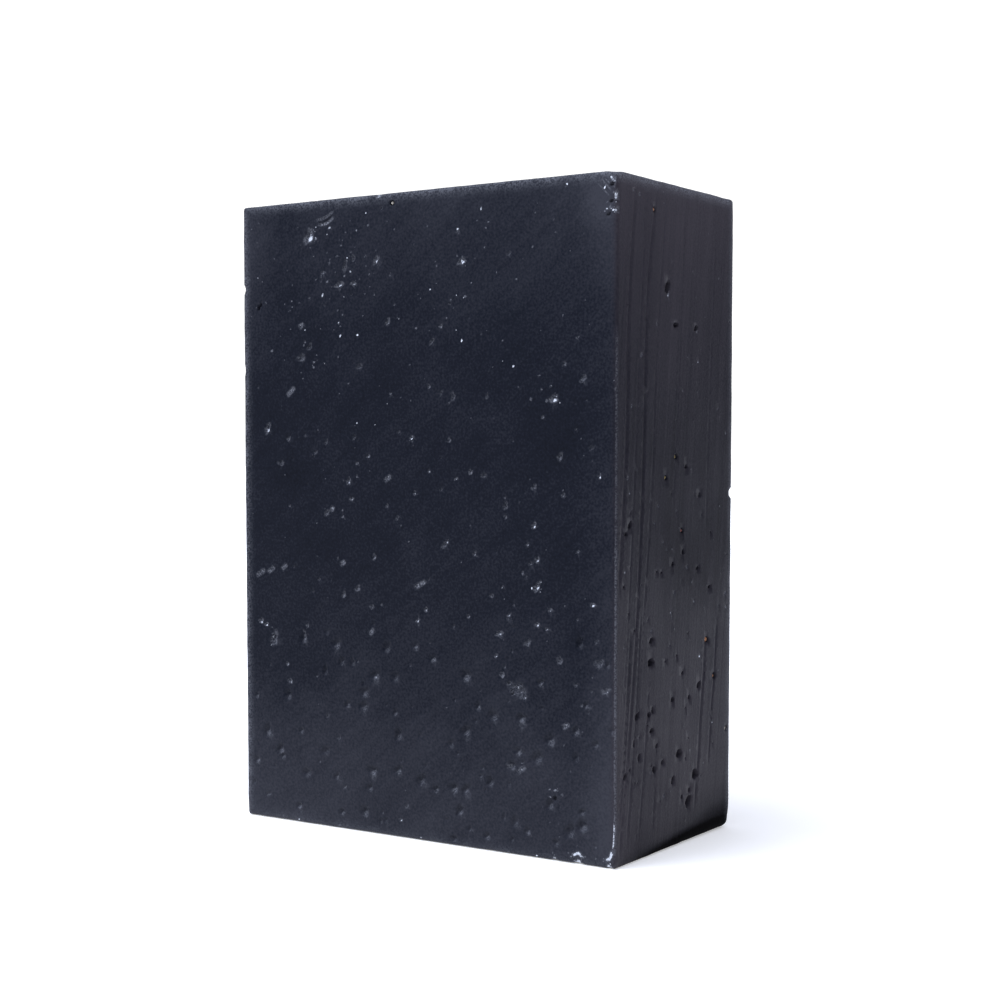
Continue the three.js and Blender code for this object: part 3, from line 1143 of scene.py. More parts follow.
    def _crater(self, across: float, up: float) -> list[Mark]:
        """Make the large ragged crater: a broad shallow tear with small deep ones in it.

        Args:
            across: Its place across the face.
            up: Its place up the face.

        Returns:
            Its marks.
        """
        turn = -0.35
        marks = [Mark(MarkKind.TEAR, across, up, 1.25, 0.35, 1.6, turn, 1.0, 0.5)]
        for _ in range(9):
            angle, reach = self.draw.uniform(0, 2 * math.pi), self.draw.uniform(0.3, 1.2)
            beside, above = 1.4 * reach * math.cos(angle), 0.8 * reach * math.sin(angle)
            marks.append(self._mark(MarkKind.TEAR, across + beside, up + above - 0.35 * beside, 0.3, 0.3))
        return marks

    @staticmethod
    def _smear(x: float, z: float, length: float, degrees: float) -> Score:
        """Make a streak of plucked matter on the front face.

        Args:
            x: Its middle.
            z: Its height.
            length: Its length.
            degrees: Its direction.

        Returns:
            The streak.
        """
        along = np.array([math.cos(math.radians(degrees)), math.sin(math.radians(degrees))]) * length / 2
        middle = np.array([x + HALF_WIDTH, z])
        line = tuple((float(p[0]), float(p[1])) for p in (middle - along, middle, middle + along))
        return Score(line, 0.26, 0.08, 0.05, 0.95, 0.25, 0.3)

    def narrow(self) -> CastFace:
        """Design the narrow face, which the cutter dragged along from top to foot."""
        low, high = (1.0, 1.0), (DEPTH - 1, HEIGHT - 1)
        marks = self._placed(MarkKind.PINHOLE, NARROW_HOLES, HALF_DEPTH, 1.8)
        marks += self._placed(MarkKind.TEAR, NARROW_FLECKS, HALF_DEPTH, 0.3, 1.3)
        marks += self._strewn(MarkKind.PINHOLE, 26, (0.1, 0.22), low, (DEPTH - 1, 45), 1.2)
        marks += self._strewn(MarkKind.CRUMB, 70, (0.07, 0.16), low, high, -0.25, 0.7)
        marks += self._strewn(MarkKind.TEAR, 22, (0.15, 0.3), low, high, 0.3, 0.5)
        marks += self._sockets(Side.RIGHT)
        scores = []
        for line, half_width, depth in DRAG_GROOVES:
            points = tuple((y + HALF_DEPTH, z) for y, z in line)
            # The drag grooves are painted near-black, painted shade, the more so the deeper they are
            painted_shade = min(2.4, 0.8 + depth * 12)
            scores.append(Score(points, half_width, depth, depth * 0.2, -painted_shade, step=1.2))
        return CastFace(Side.RIGHT, marks, scores, (0.4, 1.5), -DRAG_LEAN, 0.03, 0.011, 1.0)

    def unseen(self, side: Side, crowd: float, striation: float) -> CastFace:
        """Design a face that is like the others but has no landmarks of its own.

        Args:
            side: Which face.
            crowd: Marks for each square centimetre.
            striation: Height of its drag lines.

        Returns:
            The face.
        """
        plane = face_plane(side)
        low, high = (1.0, 1.0), (plane.width - 1, plane.height - 1)
        count = int(plane.width * plane.height / 100 * crowd)
        marks = self._strewn(MarkKind.DIMPLE, count, (0.3, 0.7), low, high, 0.45)
        marks += self._strewn(MarkKind.TEAR, count // 2, (0.2, 0.6), low, high, 0.35)
        marks += self._strewn(MarkKind.PINHOLE, count // 3, (0.12, 0.35), low, high, 1.1)
        marks += self._strewn(MarkKind.CRUMB, count // 2, (0.08, 0.17), low, high, -0.25, 0.7)
        face = CastFace(side, marks, swell=0.03, striation=striation, ring_step=0.42)
        face.grid = (0.7, 1.8) if striation else (1.6, 1.6)
        face.dragged = 1.0 if striation else 0.0
        return face

    def chips(self) -> list[Chip]:
        """List the chips and bruises at the edges."""
        right, front, back = HALF_WIDTH, -HALF_DEPTH, HALF_DEPTH
        return [
            Chip((right, back, 47.8), 0.75, 0.42, (-1, -1, 0), 0.3),
            Chip((right, front, HEIGHT), 1.6, 0.25, (-0.5, 0.3, -1), 0.2),
            Chip((right - 0.6, front, HEIGHT - 1), 0.5, 0.15, (0, 1, -0.5), 1.1),
            Chip((right, front, HEIGHT - 3.2), 0.6, 0.3, (-1, 1, 0), 1.2),
            Chip((right, front, HEIGHT - 5.0), 0.5, 0.3, (-1, 1, 0), 1.1),
            Chip((right, front, 61.5), 0.3, 0.1, (-1, 1, 0), 0.8),
            Chip((right, front, 40), 0.35, 0.12, (-1, 1, 0), 0.9),
            Chip((-right, front, 77.2), 0.6, 0.2, (1, 1, 0), 0.9),
            Chip((-right, front, 65.5), 0.9, 0.12, (1, 0.5, 0), 0.0),
            Chip((-6.5, front, HEIGHT), 0.6, 0.18, (0, 1, -1), 1.2),
            Chip((25.8, front, 0), 0.8, 0.2, (0, 1, 1), 1.2),
            Chip((22.2, front, 0), 0.5, 0.2, (0, 1, 1), 1.2),
            Chip((30.6, front, 0), 0.6, 0.25, (-0.5, 0.5, 1), 1.25),
            Chip((16.3, back, HEIGHT), 1.1, 0.2, (0, -1, -1), 0.5),
            Chip((-20.4, back, 0), 1.3, 0.25, (0, -1, 1), 0.5),
            Chip((-right, back, 31), 0.9, 0.25, (1, -1, 0), 0.6),
        ]

    def clouds(self) -> list[Cloud]:
        """List the clouds of painted sheen and painted shade."""
        right, front, back = HALF_WIDTH, -HALF_DEPTH, HALF_DEPTH
        return [
            # Front: lighter at the top and the foot, painted sheen for reflections of the overhead light and
            # the floor, with a few smaller lighter patches
            Cloud((6, front, 92), (70, 8, 30), 0.35),
            Cloud((0, front, -4), (80, 8, 41), 0.6),
            Cloud((-34, front, -4), (28, 8, 31), 0.48),
            Cloud((-right, front, 84), (9, 8, 26), 0.4),
            Cloud((8, front, 30), (26, 8, 16), 0.12),
            Cloud((27, front, 86), (12, 8, 10), 0.2),
            Cloud((28.5, front, 85.5), (4, 8, 5), 0.3),
            Cloud((20, front, 13), (6, 8, 6), 0.2),
            # Front: painted shade, darker across the middle
            Cloud((23, front, 58), (9, 8, 8), -0.15),
            Cloud((-22, front, 50), (12, 8, 5), -0.15),
            # Narrow face: painted sheen, lighter at the top, the foot and along its front edge
            Cloud((right, 2, 92), (8, 40, 33), 0.95),
            Cloud((right, 0, 66), (8, 26, 14), 0.2),
            Cloud((right, 0, 4), (8, 40, 40), 0.62),
            Cloud((right, front, 40), (8, 6, 50), 0.2),
            # Narrow face: painted shade under the heel, where the rounded edge faces the floor
            Cloud((right, 18, -3), (8, 30, 11), -2.5),
            Cloud((right, 4, -1), (8, 26, 3.6), -3.4),
            # Narrow face: painted shade, darker across the middle
            Cloud((right, 9, 38), (8, 16, 15), -0.22),
            Cloud((right, -7, 49), (8, 11, 15), -0.12),
            # Back, left and top faces: lighter at the top and the foot, painted sheen as on the front
            Cloud((-5, back, 92), (58, 8, 34), 0.35),
            Cloud((-6, back, -4), (56, 8, 40), 0.5),
            Cloud((-right, 6, 92), (8, 22, 36), 0.6),
            Cloud((-right, 6, 2), (8, 22, 40), 0.5),
            Cloud((-4, 2, HEIGHT), (30, 18, 6), 0.3),
            # Narrow face: painted sheen low along its front edge
            Cloud((right, front, 8), (8, 7, 24), 0.15),
        ]

    def block(self) -> CastBlock:
        """Put the six faces, the chips and the edges together."""
        faces = [
            self.front(),
            self.narrow(),
            self.unseen(Side.BACK, 2.5, 0.0),
            self.unseen(Side.LEFT, 3.0, 0.02),
            self.unseen(Side.TOP, 3.0, 0.0),
            self.unseen(Side.BASE, 3.0, 0.0),
        ]
        # Third number: how pale each edge is, partly wear and partly painted edge highlight
        edges = {
            frozenset({Side.FRONT, Side.RIGHT}): (0.32, 0.4, 0.0),
            frozenset({Side.FRONT, Side.LEFT}): (0.3, 0.35, 0.8),
            frozenset({Side.FRONT, Side.TOP}): (0.45, 0.4, 0.8),
            frozenset({Side.FRONT, Side.BASE}): (0.45, 0.4, 0.25),
            frozenset({Side.RIGHT, Side.BACK}): (0.35, 0.35, 0.7),
            frozenset({Side.RIGHT, Side.TOP}): (0.4, 0.6, 1.1),
            frozenset({Side.RIGHT, Side.BASE}): (0.35, 1.4, 0.0),
            frozenset({Side.LEFT, Side.BACK}): (0.9, 0.7, 0.4),
            frozenset({Side.LEFT, Side.TOP}): (0.6, 0.7, 0.4),
            frozenset({Side.LEFT, Side.BASE}): (0.6, 0.8, 0.3),
            frozenset({Side.BACK, Side.TOP}): (0.7, 0.7, 0.4),
            frozenset({Side.BACK, Side.BASE}): (0.8, 1.8, 0.2),
        }
        return CastBlock(faces, self.chips(), self.clouds(), edges)


def add_node(
    tree: bpy.types.NodeTree,
    kind: str,
    inputs: dict | None = None,
    **settings: object,
) -> bpy.types.Node:
    """Add a node with its settings and links.

    Args:
        tree: The material's or world's node tree.
        kind: The node's type name.
        inputs: What goes into each input, by name or number: a value, or an output to link.
        **settings: Values of the node's own properties.

    Returns:
        The node.
    """
    made = tree.nodes.new(kind)
    for name, value in settings.items():
        setattr(made, name, value)
    for key, value in (inputs or {}).items():
        if isinstance(value, bpy.types.NodeSocket):
            tree.links.new(value, made.inputs[key])
        else:
            made.inputs[key].default_value = value
    return made


def new_material(name: str) -> tuple[bpy.types.Material, bpy.types.Node, bpy.types.NodeSocket]:
    """Start a node material.

    Args:
        name: The material's name.

    Returns:
        The material, its main shader and the output that gives object coordinates, in metres.
    """
    material = bpy.data.materials.new(name)
    material.use_nodes = True
    tree = material.node_tree
    shader = tree.nodes["Principled BSDF"]
    where = add_node(tree, "ShaderNodeTexCoord").outputs["Object"]
    return material, shader, where


def per_metre(size: float) -> float:
    """Turn the size of a pattern's cell in millimetres into a texture scale."""
    return 1 / (size * MM)


@dataclass(frozen=True)
class CastCharcoal:
    """Cast compressed charcoal: ground charcoal and clay pressed with a binder, then cut and scraped.

    To the eye it is a near-black with a blue cast and a low satin sheen. Scraping leaves cloudy diagonal
    sweeps, dragging leaves fine upright lines, and freshly plucked matter is ash grey.

    Attributes:
        painted_shade: Near-black of the painted shade in hollows, in grooves and under the heel, and of the
            darker end of the mottle.
        deep: Colour of the skin of the broad faces.
        painted_sheen_and_mottle: Colour of the painted sheen towards the top and the foot of the broad faces,
            which stands in for reflections, and of the lighter end of the mottle.
        drag_deep: Colour of the skin of the dragged narrow faces, a little warmer.
        drag_painted_sheen_and_mottle: The same on the dragged narrow faces.
        ash_and_highlight: Colour of plucked matter; the same grey is also painted highlight on the lower
            walls of dimples and tears, and partly on edges.
        glint: Near-white of the painted glints, which stand in for the sparkle of the brightest specks in
            plucked matter and of burrs.
        ior: Of a waxy binder.
        gloss: Specular level, low because the skin is full of fine pores.
        roughness: Of the burnished skin and of the rest.
        shade_roughness: How much rougher the surface is where it is painted dark.
    """

    painted_shade: str = "#020203"
    deep: str = "#161922"
    painted_sheen_and_mottle: str = "#37383f"
    drag_deep: str = "#201f26"
    drag_painted_sheen_and_mottle: str = "#37343a"
    ash_and_highlight: str = "#66686f"
    glint: str = "#d4d9e2"
    ior: float = 1.45
    gloss: float = 0.06
    roughness: tuple[float, float] = (0.36, 0.46)
    shade_roughness: float = 0.5

    CLOUD = 9.0  # mm, clouds of handling
    SWEEP = (9.0, 1.5)  # mm, length and width of a scrape
    GRIT = 0.35  # mm, ground charcoal, drawn about five times as coarse as it is
    DRAG_LINE = (60.0, 1.1)  # mm, length and pitch of the drag lines
    ASH_CELL = 0.22  # mm, crumbs in plucked matter
    SWEEP_ANGLE = math.radians(38)
    SWING = 0.08  # how much scrapes change the tone
    LINES = 0.2  # how much drag lines change it
    DRIFT = 0.1  # how much clouds of handling change it
    MOTTLE = 0.22  # how much the grit changes it
    GLINT_FROM = 1.5  # paleness and crumb together at which a glint starts
    GLINT_FULL = 1.85  # and at which it is whole
    GRIT_DEPTH = 0.02  # mm
    SCRAPE_DEPTH = 0.05  # mm

    def _swept(self, tree: bpy.types.NodeTree, where: bpy.types.NodeSocket) -> bpy.types.NodeSocket:
        """Make the diagonal scrapes of the broad faces.

        Args:
            tree: The material's node tree.
            where: Object coordinates.

        Returns:
            Noise drawn out along the scrape direction.
        """
        turned = add_node(tree, "ShaderNodeVectorRotate", {"Vector": where, "Angle": self.SWEEP_ANGLE},
                          rotation_type="Y_AXIS")
        long, thin = (per_metre(size) for size in self.SWEEP)
        drawn = add_node(tree, "ShaderNodeVectorMath", {0: turned.outputs[0], 1: (long, thin, thin)},
                         operation="MULTIPLY")
        return add_node(tree, "ShaderNodeTexNoise", {"Vector": drawn.outputs[0], "Scale": 1.0, "Detail": 4.0,
                                                     "Distortion": 0.8}).outputs["Fac"]

    def _dragged(self, tree: bpy.types.NodeTree, where: bpy.types.NodeSocket) -> bpy.types.NodeSocket:
        """Make the fine upright drag lines of the narrow faces.

        Args:
            tree: The material's node tree.
            where: Object coordinates.

        Returns:
            Noise drawn out along the drag lines.
        """
        long, thin = (per_metre(size) for size in self.DRAG_LINE)
        turned = add_node(tree, "ShaderNodeVectorRotate", {"Vector": where, "Angle": DRAG_LEAN},
                          rotation_type="X_AXIS")
        drawn = add_node(tree, "ShaderNodeVectorMath", {0: turned.outputs[0], 1: (thin, thin, long)},
                         operation="MULTIPLY")
        return add_node(tree, "ShaderNodeTexNoise", {"Vector": drawn.outputs[0], "Scale": 1.0,
                                                     "Detail": 6.0, "Roughness": 0.65}).outputs["Fac"]

    def _colour(
        self,
        tree: bpy.types.NodeTree,
        scrape: bpy.types.NodeSocket,
        lines: bpy.types.NodeSocket,
        cloud: bpy.types.NodeSocket,
        grit: bpy.types.NodeSocket,
        crumbs: bpy.types.NodeSocket,
    ) -> bpy.types.NodeSocket:
        """Mix the colour from skin, painted sheen, painted shade, plucked matter and painted glints.

        Args:
            tree: The material's node tree.
            scrape: Diagonal scrapes.
            lines: Upright drag lines.
            cloud: Clouds of handling.
            grit: Ground charcoal.
            crumbs: Crumbs in plucked matter.

        Returns:
            The colour.
        """
        tone = add_node(tree, "ShaderNodeAttribute", attribute_name="tone").outputs["Fac"]
        pale = add_node(tree, "ShaderNodeAttribute", attribute_name="pale").outputs["Fac"]
        dragged = add_node(tree, "ShaderNodeAttribute", attribute_name="dragged").outputs["Fac"]

        # The tone swings a little with the scrapes on broad faces and with the drag lines on narrow ones
        swings = []
        shares = (self.SWING, self.LINES, self.DRIFT, self.MOTTLE)
        for pattern, swing in zip((scrape, lines, cloud, grit), shares):
            span = {"Value": pattern, "From Min": 0.3, "From Max": 0.7, "To Min": -swing, "To Max": swing}
            swings.append(add_node(tree, "ShaderNodeMapRange", span).outputs[0])
        scraped, lined, drift, mottle = swings
        swing = add_node(tree, "ShaderNodeMix", {0: dragged, 2: scraped, 3: lined}).outputs[0]
        uneven = add_node(tree, "ShaderNodeMath", {0: swing, 1: drift}, operation="ADD").outputs[0]
        uneven = add_node(tree, "ShaderNodeMath", {0: uneven, 1: mottle}, operation="ADD").outputs[0]
        level = add_node(tree, "ShaderNodeMath", {0: tone, 1: uneven}, operation="ADD").outputs[0]

        # Below nought the skin darkens towards near-black, for painted shade and darker mottle; above nought
        # it lightens, for painted sheen and lighter mottle
        low = {0: dragged, 6: linear(self.deep), 7: linear(self.drag_deep)}
        skin = add_node(tree, "ShaderNodeMix", low, data_type="RGBA").outputs[2]
        high = {0: dragged, 6: linear(self.painted_sheen_and_mottle), 7: linear(self.drag_painted_sheen_and_mottle)}
        painted_sheen_skin = add_node(tree, "ShaderNodeMix", high, data_type="RGBA").outputs[2]
        lit = add_node(tree, "ShaderNodeMix", {0: level, 6: skin, 7: painted_sheen_skin}, data_type="RGBA").outputs[2]
        less = add_node(tree, "ShaderNodeMath", {0: level, 1: -1.0}, operation="MULTIPLY").outputs[0]
        painted_shade = add_node(tree, "ShaderNodeAttribute", attribute_name="painted_shade").outputs["Fac"]
        painted_shade = add_node(tree, "ShaderNodeMath", {0: less, 1: painted_shade}, operation="MAXIMUM").outputs[0]
        shaded = {0: painted_shade, 6: lit, 7: linear(self.painted_shade)}
        matter = add_node(tree, "ShaderNodeMix", shaded, data_type="RGBA").outputs[2]

        # Plucked matter is pale grey with a few painted glints, and the same grey is painted highlight on
        # dimple walls and partly on edges; burrs, where the paleness passes one, are all painted glint
        cover = {"Value": crumbs, "From Min": 0.4, "From Max": 0.58, "To Min": 0.15, "To Max": 1.0}
        cover = add_node(tree, "ShaderNodeMapRange", cover).outputs[0]
        share = add_node(tree, "ShaderNodeMath", {0: pale, 1: cover}, operation="MULTIPLY").outputs[0]
        paled = {0: share, 6: matter, 7: linear(self.ash_and_highlight)}
        paled = add_node(tree, "ShaderNodeMix", paled, data_type="RGBA").outputs[2]
        peak = add_node(tree, "ShaderNodeMath", {0: crumbs, 1: pale}, operation="ADD").outputs[0]
        shine = {"Value": peak, "From Min": self.GLINT_FROM, "From Max": self.GLINT_FULL}
        shine = add_node(tree, "ShaderNodeMapRange", shine, interpolation_type="SMOOTHSTEP").outputs[0]
        bright = {0: shine, 6: paled, 7: linear(self.glint)}
        return add_node(tree, "ShaderNodeMix", bright, data_type="RGBA").outputs[2]

    def _relief(
        self,
        tree: bpy.types.NodeTree,
        grit: bpy.types.NodeSocket,
        scrape: bpy.types.NodeSocket,
        lines: bpy.types.NodeSocket,
    ) -> bpy.types.NodeSocket:
        """Roughen the surface with its grit, scrapes and drag lines.

        Args:
            tree: The material's node tree.
            grit: Ground charcoal.
            scrape: Diagonal scrapes.
            lines: Upright drag lines.

        Returns:
            The surface's direction.
        """
        dragged = add_node(tree, "ShaderNodeAttribute", attribute_name="dragged").outputs["Fac"]
        grain = {"Height": grit, "Distance": self.GRIT_DEPTH * MM}
        grain = add_node(tree, "ShaderNodeBump", grain).outputs[0]
        both = {0: dragged, 2: scrape, 3: lines}
        height = add_node(tree, "ShaderNodeMix", both).outputs[0]
        marks = {"Height": height, "Distance": self.SCRAPE_DEPTH * MM, "Normal": grain}
        return add_node(tree, "ShaderNodeBump", marks).outputs[0]

    def make(self) -> bpy.types.Material:
        """Build the material."""
        material, shader, where = new_material("cast_charcoal")
        tree = material.node_tree
        clouds = {"Vector": where, "Scale": per_metre(self.CLOUD), "Detail": 3.0}
        cloud = add_node(tree, "ShaderNodeTexNoise", clouds).outputs["Fac"]
        grits = {"Vector": where, "Scale": per_metre(self.GRIT), "Detail": 2.0}
        grit = add_node(tree, "ShaderNodeTexNoise", grits).outputs["Fac"]
        cells = {"Vector": where, "Scale": per_metre(self.ASH_CELL), "Detail": 2.0}
        crumbs = add_node(tree, "ShaderNodeTexNoise", cells).outputs["Fac"]
        scrape = self._swept(tree, where)
        lines = self._dragged(tree, where)

        colour = self._colour(tree, scrape, lines, cloud, grit, crumbs)
        tree.links.new(colour, shader.inputs["Base Color"])
        tree.links.new(self._relief(tree, grit, scrape, lines), shader.inputs["Normal"])
        low, high = self.roughness
        worn = {"Value": cloud, "From Min": 0.3, "From Max": 0.7, "To Min": high, "To Max": low}
        worn = add_node(tree, "ShaderNodeMapRange", worn).outputs[0]
        tone = add_node(tree, "ShaderNodeAttribute", attribute_name="tone").outputs["Fac"]
        painted_shade = add_node(tree, "ShaderNodeAttribute", attribute_name="painted_shade").outputs["Fac"]
        less = add_node(tree, "ShaderNodeMath", {0: tone, 1: -1.0}, operation="MULTIPLY").outputs[0]
        painted_shade = add_node(tree, "ShaderNodeMath", {0: less, 1: painted_shade}, operation="MAXIMUM").outputs[0]
        shaded = add_node(tree, "ShaderNodeMapRange", {"Value": painted_shade, "To Max": self.shade_roughness})
        rough = add_node(tree, "ShaderNodeMath", {0: worn, 1: shaded.outputs[0]}, operation="ADD").outputs[0]
        tree.links.new(rough, shader.inputs["Roughness"])
        shader.inputs["IOR"].default_value = self.ior
        shader.inputs["Specular IOR Level"].default_value = self.gloss
        return material


@dataclass(frozen=True)
class MineralGrit:
    """Grains of sand or husk left in the mix: stained on the outside and dusted with charcoal.

    To the eye each is a small warm crumb with a dull glassy break.

    Attributes:
        name: The material's name.
        body: Colour of the grain.
        stain: Colour of the stain in its hollows.
        roughness: Of its broken faces.
        ior: Of quartz.
    """

    name: str
    body: str
    stain: str
    roughness: float = 0.5
    ior: float = 1.54

    VEIN = 0.3  # mm, size of the stained hollows
    VEIN_DEPTH = 0.05  # mm

    def make(self) -> bpy.types.Material:
        """Build the material."""
        material, shader, where = new_material(self.name)
        tree = material.node_tree
        cells = {"Vector": where, "Scale": per_metre(self.VEIN), "Detail": 4.0}
        vein = add_node(tree, "ShaderNodeTexNoise", cells).outputs["Fac"]
        share = add_node(tree, "ShaderNodeMapRange", {"Value": vein, "From Min": 0.4, "From Max": 0.62})
        both = {0: share.outputs[0], 6: linear(self.stain), 7: linear(self.body)}
        mix = add_node(tree, "ShaderNodeMix", both, data_type="RGBA")
        tree.links.new(mix.outputs[2], shader.inputs["Base Color"])
        bump = add_node(tree, "ShaderNodeBump", {"Height": vein, "Distance": self.VEIN_DEPTH * MM})
        tree.links.new(bump.outputs[0], shader.inputs["Normal"])
        shader.inputs["Roughness"].default_value = self.roughness
        shader.inputs["IOR"].default_value = self.ior
        return material


@dataclass
class GritGrain:
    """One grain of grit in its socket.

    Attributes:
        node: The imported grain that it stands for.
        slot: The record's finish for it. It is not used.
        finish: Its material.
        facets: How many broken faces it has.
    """

    node: str
    slot: str
    finish: bpy.types.Material
    facets: int = 9

    SUBDIVISIONS = 4
    KNOCKED = (0.6, 0.85)  # where a broken face lies, in radii from the middle
    KNOCK_SHARE = 0.85  # how flat it is
    LUMPY = 0.06  # how uneven the grain is, in radii
    LUMP = 0.5  # size of its lumps, in radii
    FILL = 0.98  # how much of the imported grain's box it fills

    def build(self, draw: np.random.Generator) -> bpy.types.Object:
        """Make the grain: a pebble knocked flat on several sides.

        Args:
            draw: Source of random numbers.

        Returns:
            The grain, which rides on the block's body.
        """
        low, high = (np.array(corner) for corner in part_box(self.node))
        shape = bmesh.new()
        bmesh.ops.create_icosphere(shape, subdivisions=self.SUBDIVISIONS, radius=1.0)
        points = np.array([v.co for v in shape.verts])
        facing = draw.normal(size=(self.facets, 3))
        facing /= np.linalg.norm(facing, axis=1)[:, None]
        for direction, height in zip(facing, draw.uniform(*self.KNOCKED, self.facets)):
            over = np.clip(points @ direction - height, 0, None)
            points -= direction * over[:, None] * self.KNOCK_SHARE
        points *= 1 + self.LUMPY * noise_at(points, self.LUMP, float(facing[0, 0]))[:, None]
        points /= np.abs(points).max(axis=0)
        points = (low + high) / 2 + points * (high - low) / 2 * self.FILL
        for vertex, place in zip(shape.verts, points):
            vertex.co = place
        mesh = bpy.data.meshes.new(self.node)
        shape.to_mesh(mesh)
        shape.free()
        mesh.shade_smooth()
        mesh.materials.append(self.finish)
        grain = bpy.data.objects.new(self.node + "_shaped", mesh)
        bpy.context.scene.collection.objects.link(grain)
        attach(grain, "root")
        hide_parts(self.node)
        return grain


@dataclass
class Studio:
    """The pale floor, soft lights and camera.

    Attributes:
        floor_radius: Of the round floor, in metres.
        floor_glow: Light that comes through the floor, a backlit acrylic table.
        lens: Focal length, in millimetres.
        eye: Where the camera is, in metres.
        azimuth: How far the camera has moved round to the right, in degrees.
        pitch: How far it looks down, in degrees.
        rise: How far its frame is raised, as a share of the frame's width.
    """

    floor_radius: float = 6.0
    floor_glow: float = 0.36
    lens: float = 64.15
    eye: tuple[float, float, float] = (0.1459, -0.21164, 0.05377)
    azimuth: float = 34.08
    pitch: float = 3.51
    rise: float = 0.06

    FLOOR_GAP = 0.02  # mm under the block, so that the two don't fight for the same place

    def floor(self) -> bpy.types.Object:
        """Make the floor, a disc of white acrylic that is faintly lit from below."""
        shape = bmesh.new()
        bmesh.ops.create_circle(shape, cap_ends=True, segments=96, radius=self.floor_radius)
        mesh = bpy.data.meshes.new("floor")
        shape.to_mesh(mesh)
        shape.free()
        floor = bpy.data.objects.new("floor", mesh)
        floor.location.z = -self.FLOOR_GAP * MM
        bpy.context.scene.collection.objects.link(floor)
        material, shader, _ = new_material("white_acrylic")
        shader.inputs["Base Color"].default_value = linear("#f8f7f4")
        shader.inputs["Roughness"].default_value = 0.9
        shader.inputs["Emission Color"].default_value = linear("#ffffff")
        shader.inputs["Emission Strength"].default_value = self.floor_glow
        mesh.materials.append(material)
        return floor

    def overhead(self, strength: float, spread: float) -> None:
        """Light the floor evenly from above, a little from the left and the front.

        Args:
            strength: How much light falls on a surface square to it.
            spread: How wide its source is, in degrees.
        """
        light = bpy.data.lights.new("overhead", "SUN")
        light.energy = strength
        light.angle = math.radians(spread)
        light.color = linear("#eaf0ff")[:3]
        lamp = bpy.data.objects.new("overhead", light)
        lamp.rotation_euler = Vector((0.35, 0.4, -1)).to_track_quat("-Z", "Y").to_euler()
        bpy.context.scene.collection.objects.link(lamp)

    def softbox(
        self,
        name: str,
        place: tuple[float, float, float],
        size: tuple[float, float],
        watts: float,
        hue: str,
    ) -> None:
        """Hang a softbox that looks at the middle of the block.

        Args:
            name: Its name.
            place: Where it is, in metres.
            size: Its width and height, in metres.
            watts: Its power.
            hue: Its colour.
        """
        light = bpy.data.lights.new(name, "AREA")
        light.shape = "RECTANGLE"
        light.size, light.size_y = size
        light.energy = watts
        light.color = linear(hue)[:3]
        lamp = bpy.data.objects.new(name, light)
        lamp.location = place
        towards = Vector((0, 0, HEIGHT / 2 * MM)) - Vector(place)
        lamp.rotation_euler = towards.to_track_quat("-Z", "Y").to_euler()
        bpy.context.scene.collection.objects.link(lamp)

    def world(self, seen: float, low: float, high: float) -> None:
        """Make the surroundings: white where they are looked at, and a dim room with a bright ceiling.

        Args:
            seen: Brightness of the backdrop.
            low: Brightness of the room's walls.
            high: Brightness of its ceiling and of the wall behind the block.
        """
        world = bpy.data.worlds.new("studio")
        world.use_nodes = True
        tree = world.node_tree
        tree.nodes.clear()
        looked_at = add_node(tree, "ShaderNodeLightPath").outputs["Is Camera Ray"]
        way = add_node(tree, "ShaderNodeTexCoord").outputs["Generated"]
        height = add_node(tree, "ShaderNodeSeparateXYZ", {0: way}).outputs["Z"]
        rise = {"Value": height, "From Min": 0.15, "From Max": 0.9, "To Min": low, "To Max": high}
        ceiling = add_node(tree, "ShaderNodeMapRange", rise, interpolation_type="SMOOTHSTEP").outputs[0]
        behind = (-math.sin(math.radians(self.azimuth)), math.cos(math.radians(self.azimuth)), 0.0)
        facing = add_node(tree, "ShaderNodeVectorMath", {0: way, 1: behind}, operation="DOT_PRODUCT")
        wall = {"Value": facing.outputs[1], "From Min": 0.7, "From Max": 0.95, "To Min": 0.0, "To Max": high}
        wall = add_node(tree, "ShaderNodeMapRange", wall, interpolation_type="SMOOTHSTEP").outputs[0]
        strength = add_node(tree, "ShaderNodeMath", {0: ceiling, 1: wall}, operation="MAXIMUM").outputs[0]
        room = add_node(tree, "ShaderNodeBackground", {"Color": linear("#e4ebff"), "Strength": strength})
        back = add_node(tree, "ShaderNodeBackground", {"Color": (1, 1, 1, 1), "Strength": seen})
        both = add_node(tree, "ShaderNodeMixShader", {0: looked_at, 1: room.outputs[0], 2: back.outputs[0]})
        add_node(tree, "ShaderNodeOutputWorld", {"Surface": both.outputs[0]})
        bpy.context.scene.world = world

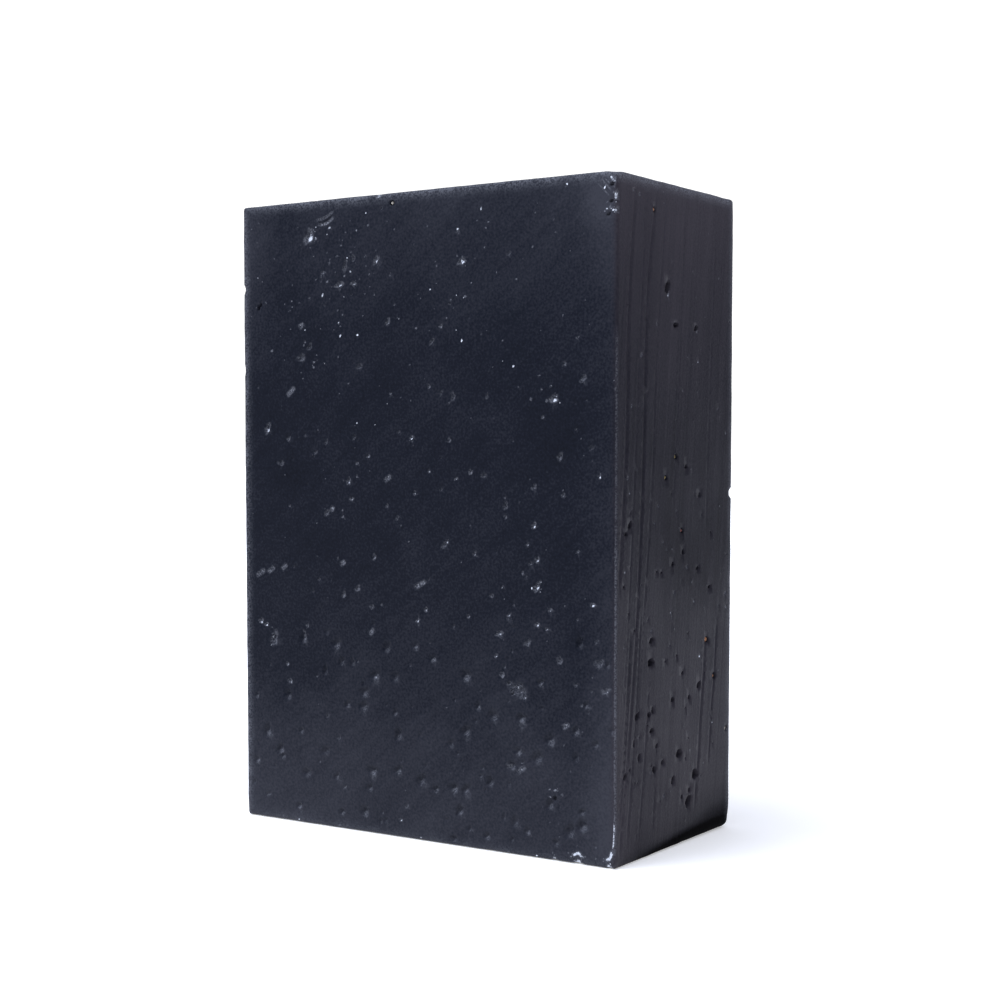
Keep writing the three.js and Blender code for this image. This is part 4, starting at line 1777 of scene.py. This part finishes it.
    def camera(self) -> None:
        """Set up the camera."""
        data = bpy.data.cameras.new("camera")
        data.lens = self.lens
        data.sensor_width = 36.0
        data.shift_y = self.rise
        data.clip_start = 0.01
        camera = bpy.data.objects.new("camera", data)
        camera.location = self.eye
        camera.rotation_euler = (math.radians(90 - self.pitch), 0, math.radians(self.azimuth))
        bpy.context.scene.collection.objects.link(camera)
        bpy.context.scene.camera = camera

    def build(self) -> None:
        """Set the whole studio up."""
        self.camera()
        self.floor()
        self.world(seen=1.2, low=0.04, high=1.0)
        self.overhead(strength=2.5, spread=40.0)
        self.softbox("key", place=(-0.62, -0.76, 0.55), size=(0.9, 0.6), watts=2.2, hue="#dfe8ff")
        self.softbox("fill", place=(0.62, 0.86, 0.55), size=(0.8, 0.6), watts=1.4, hue="#f4f0ff")
        bpy.context.scene.view_settings.view_transform = "Standard"


GRAINS = {
    "amber_grain_upper": ("amber_grit", Side.RIGHT),
    "amber_grain_lower": ("amber_grit", Side.RIGHT),
    "amber_grain_top": ("amber_grit", Side.RIGHT),
    "yellow_grain_upper": ("yellow_grit", Side.RIGHT),
    "yellow_grain_lower": ("yellow_grit", Side.RIGHT),
    "red_grain": ("red_grit", Side.RIGHT),
    "pale_grain_back": ("pale_grit", Side.RIGHT),
    "pale_grain_front": ("pale_grit", Side.FRONT),
}


def main() -> None:
    """Build the block, its grains and the studio."""
    logging.basicConfig(level=logging.INFO, format="%(name)s: %(message)s")
    draw = np.random.default_rng(SEED)

    design = BlockDesign(draw, {name: side for name, (_, side) in GRAINS.items()})
    block = design.block().build(draw)
    block.data.materials.append(CastCharcoal().make())
    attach(block, "root")
    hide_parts("charcoal_block")

    grits = {
        "amber_grit": MineralGrit("amber_grit", "#b87a45", "#6b4326"),
        "yellow_grit": MineralGrit("yellow_grit", "#9c8a4e", "#5a4f30"),
        "red_grit": MineralGrit("red_grit", "#8a4436", "#4a2622"),
        "pale_grit": MineralGrit("pale_grit", "#b9b2a6", "#77726b"),
    }
    finishes = {slot: grit.make() for slot, grit in grits.items()}
    for name, (slot, _) in GRAINS.items():
        grain = GritGrain(name, slot, finishes[slot]).build(draw)
        LOG.info("%s: %d triangles", grain.name, len(grain.data.polygons))

    Studio().build()
    LOG.info("studio: floor, overhead light, two softboxes and camera")


if __name__ == "__main__":
    main()
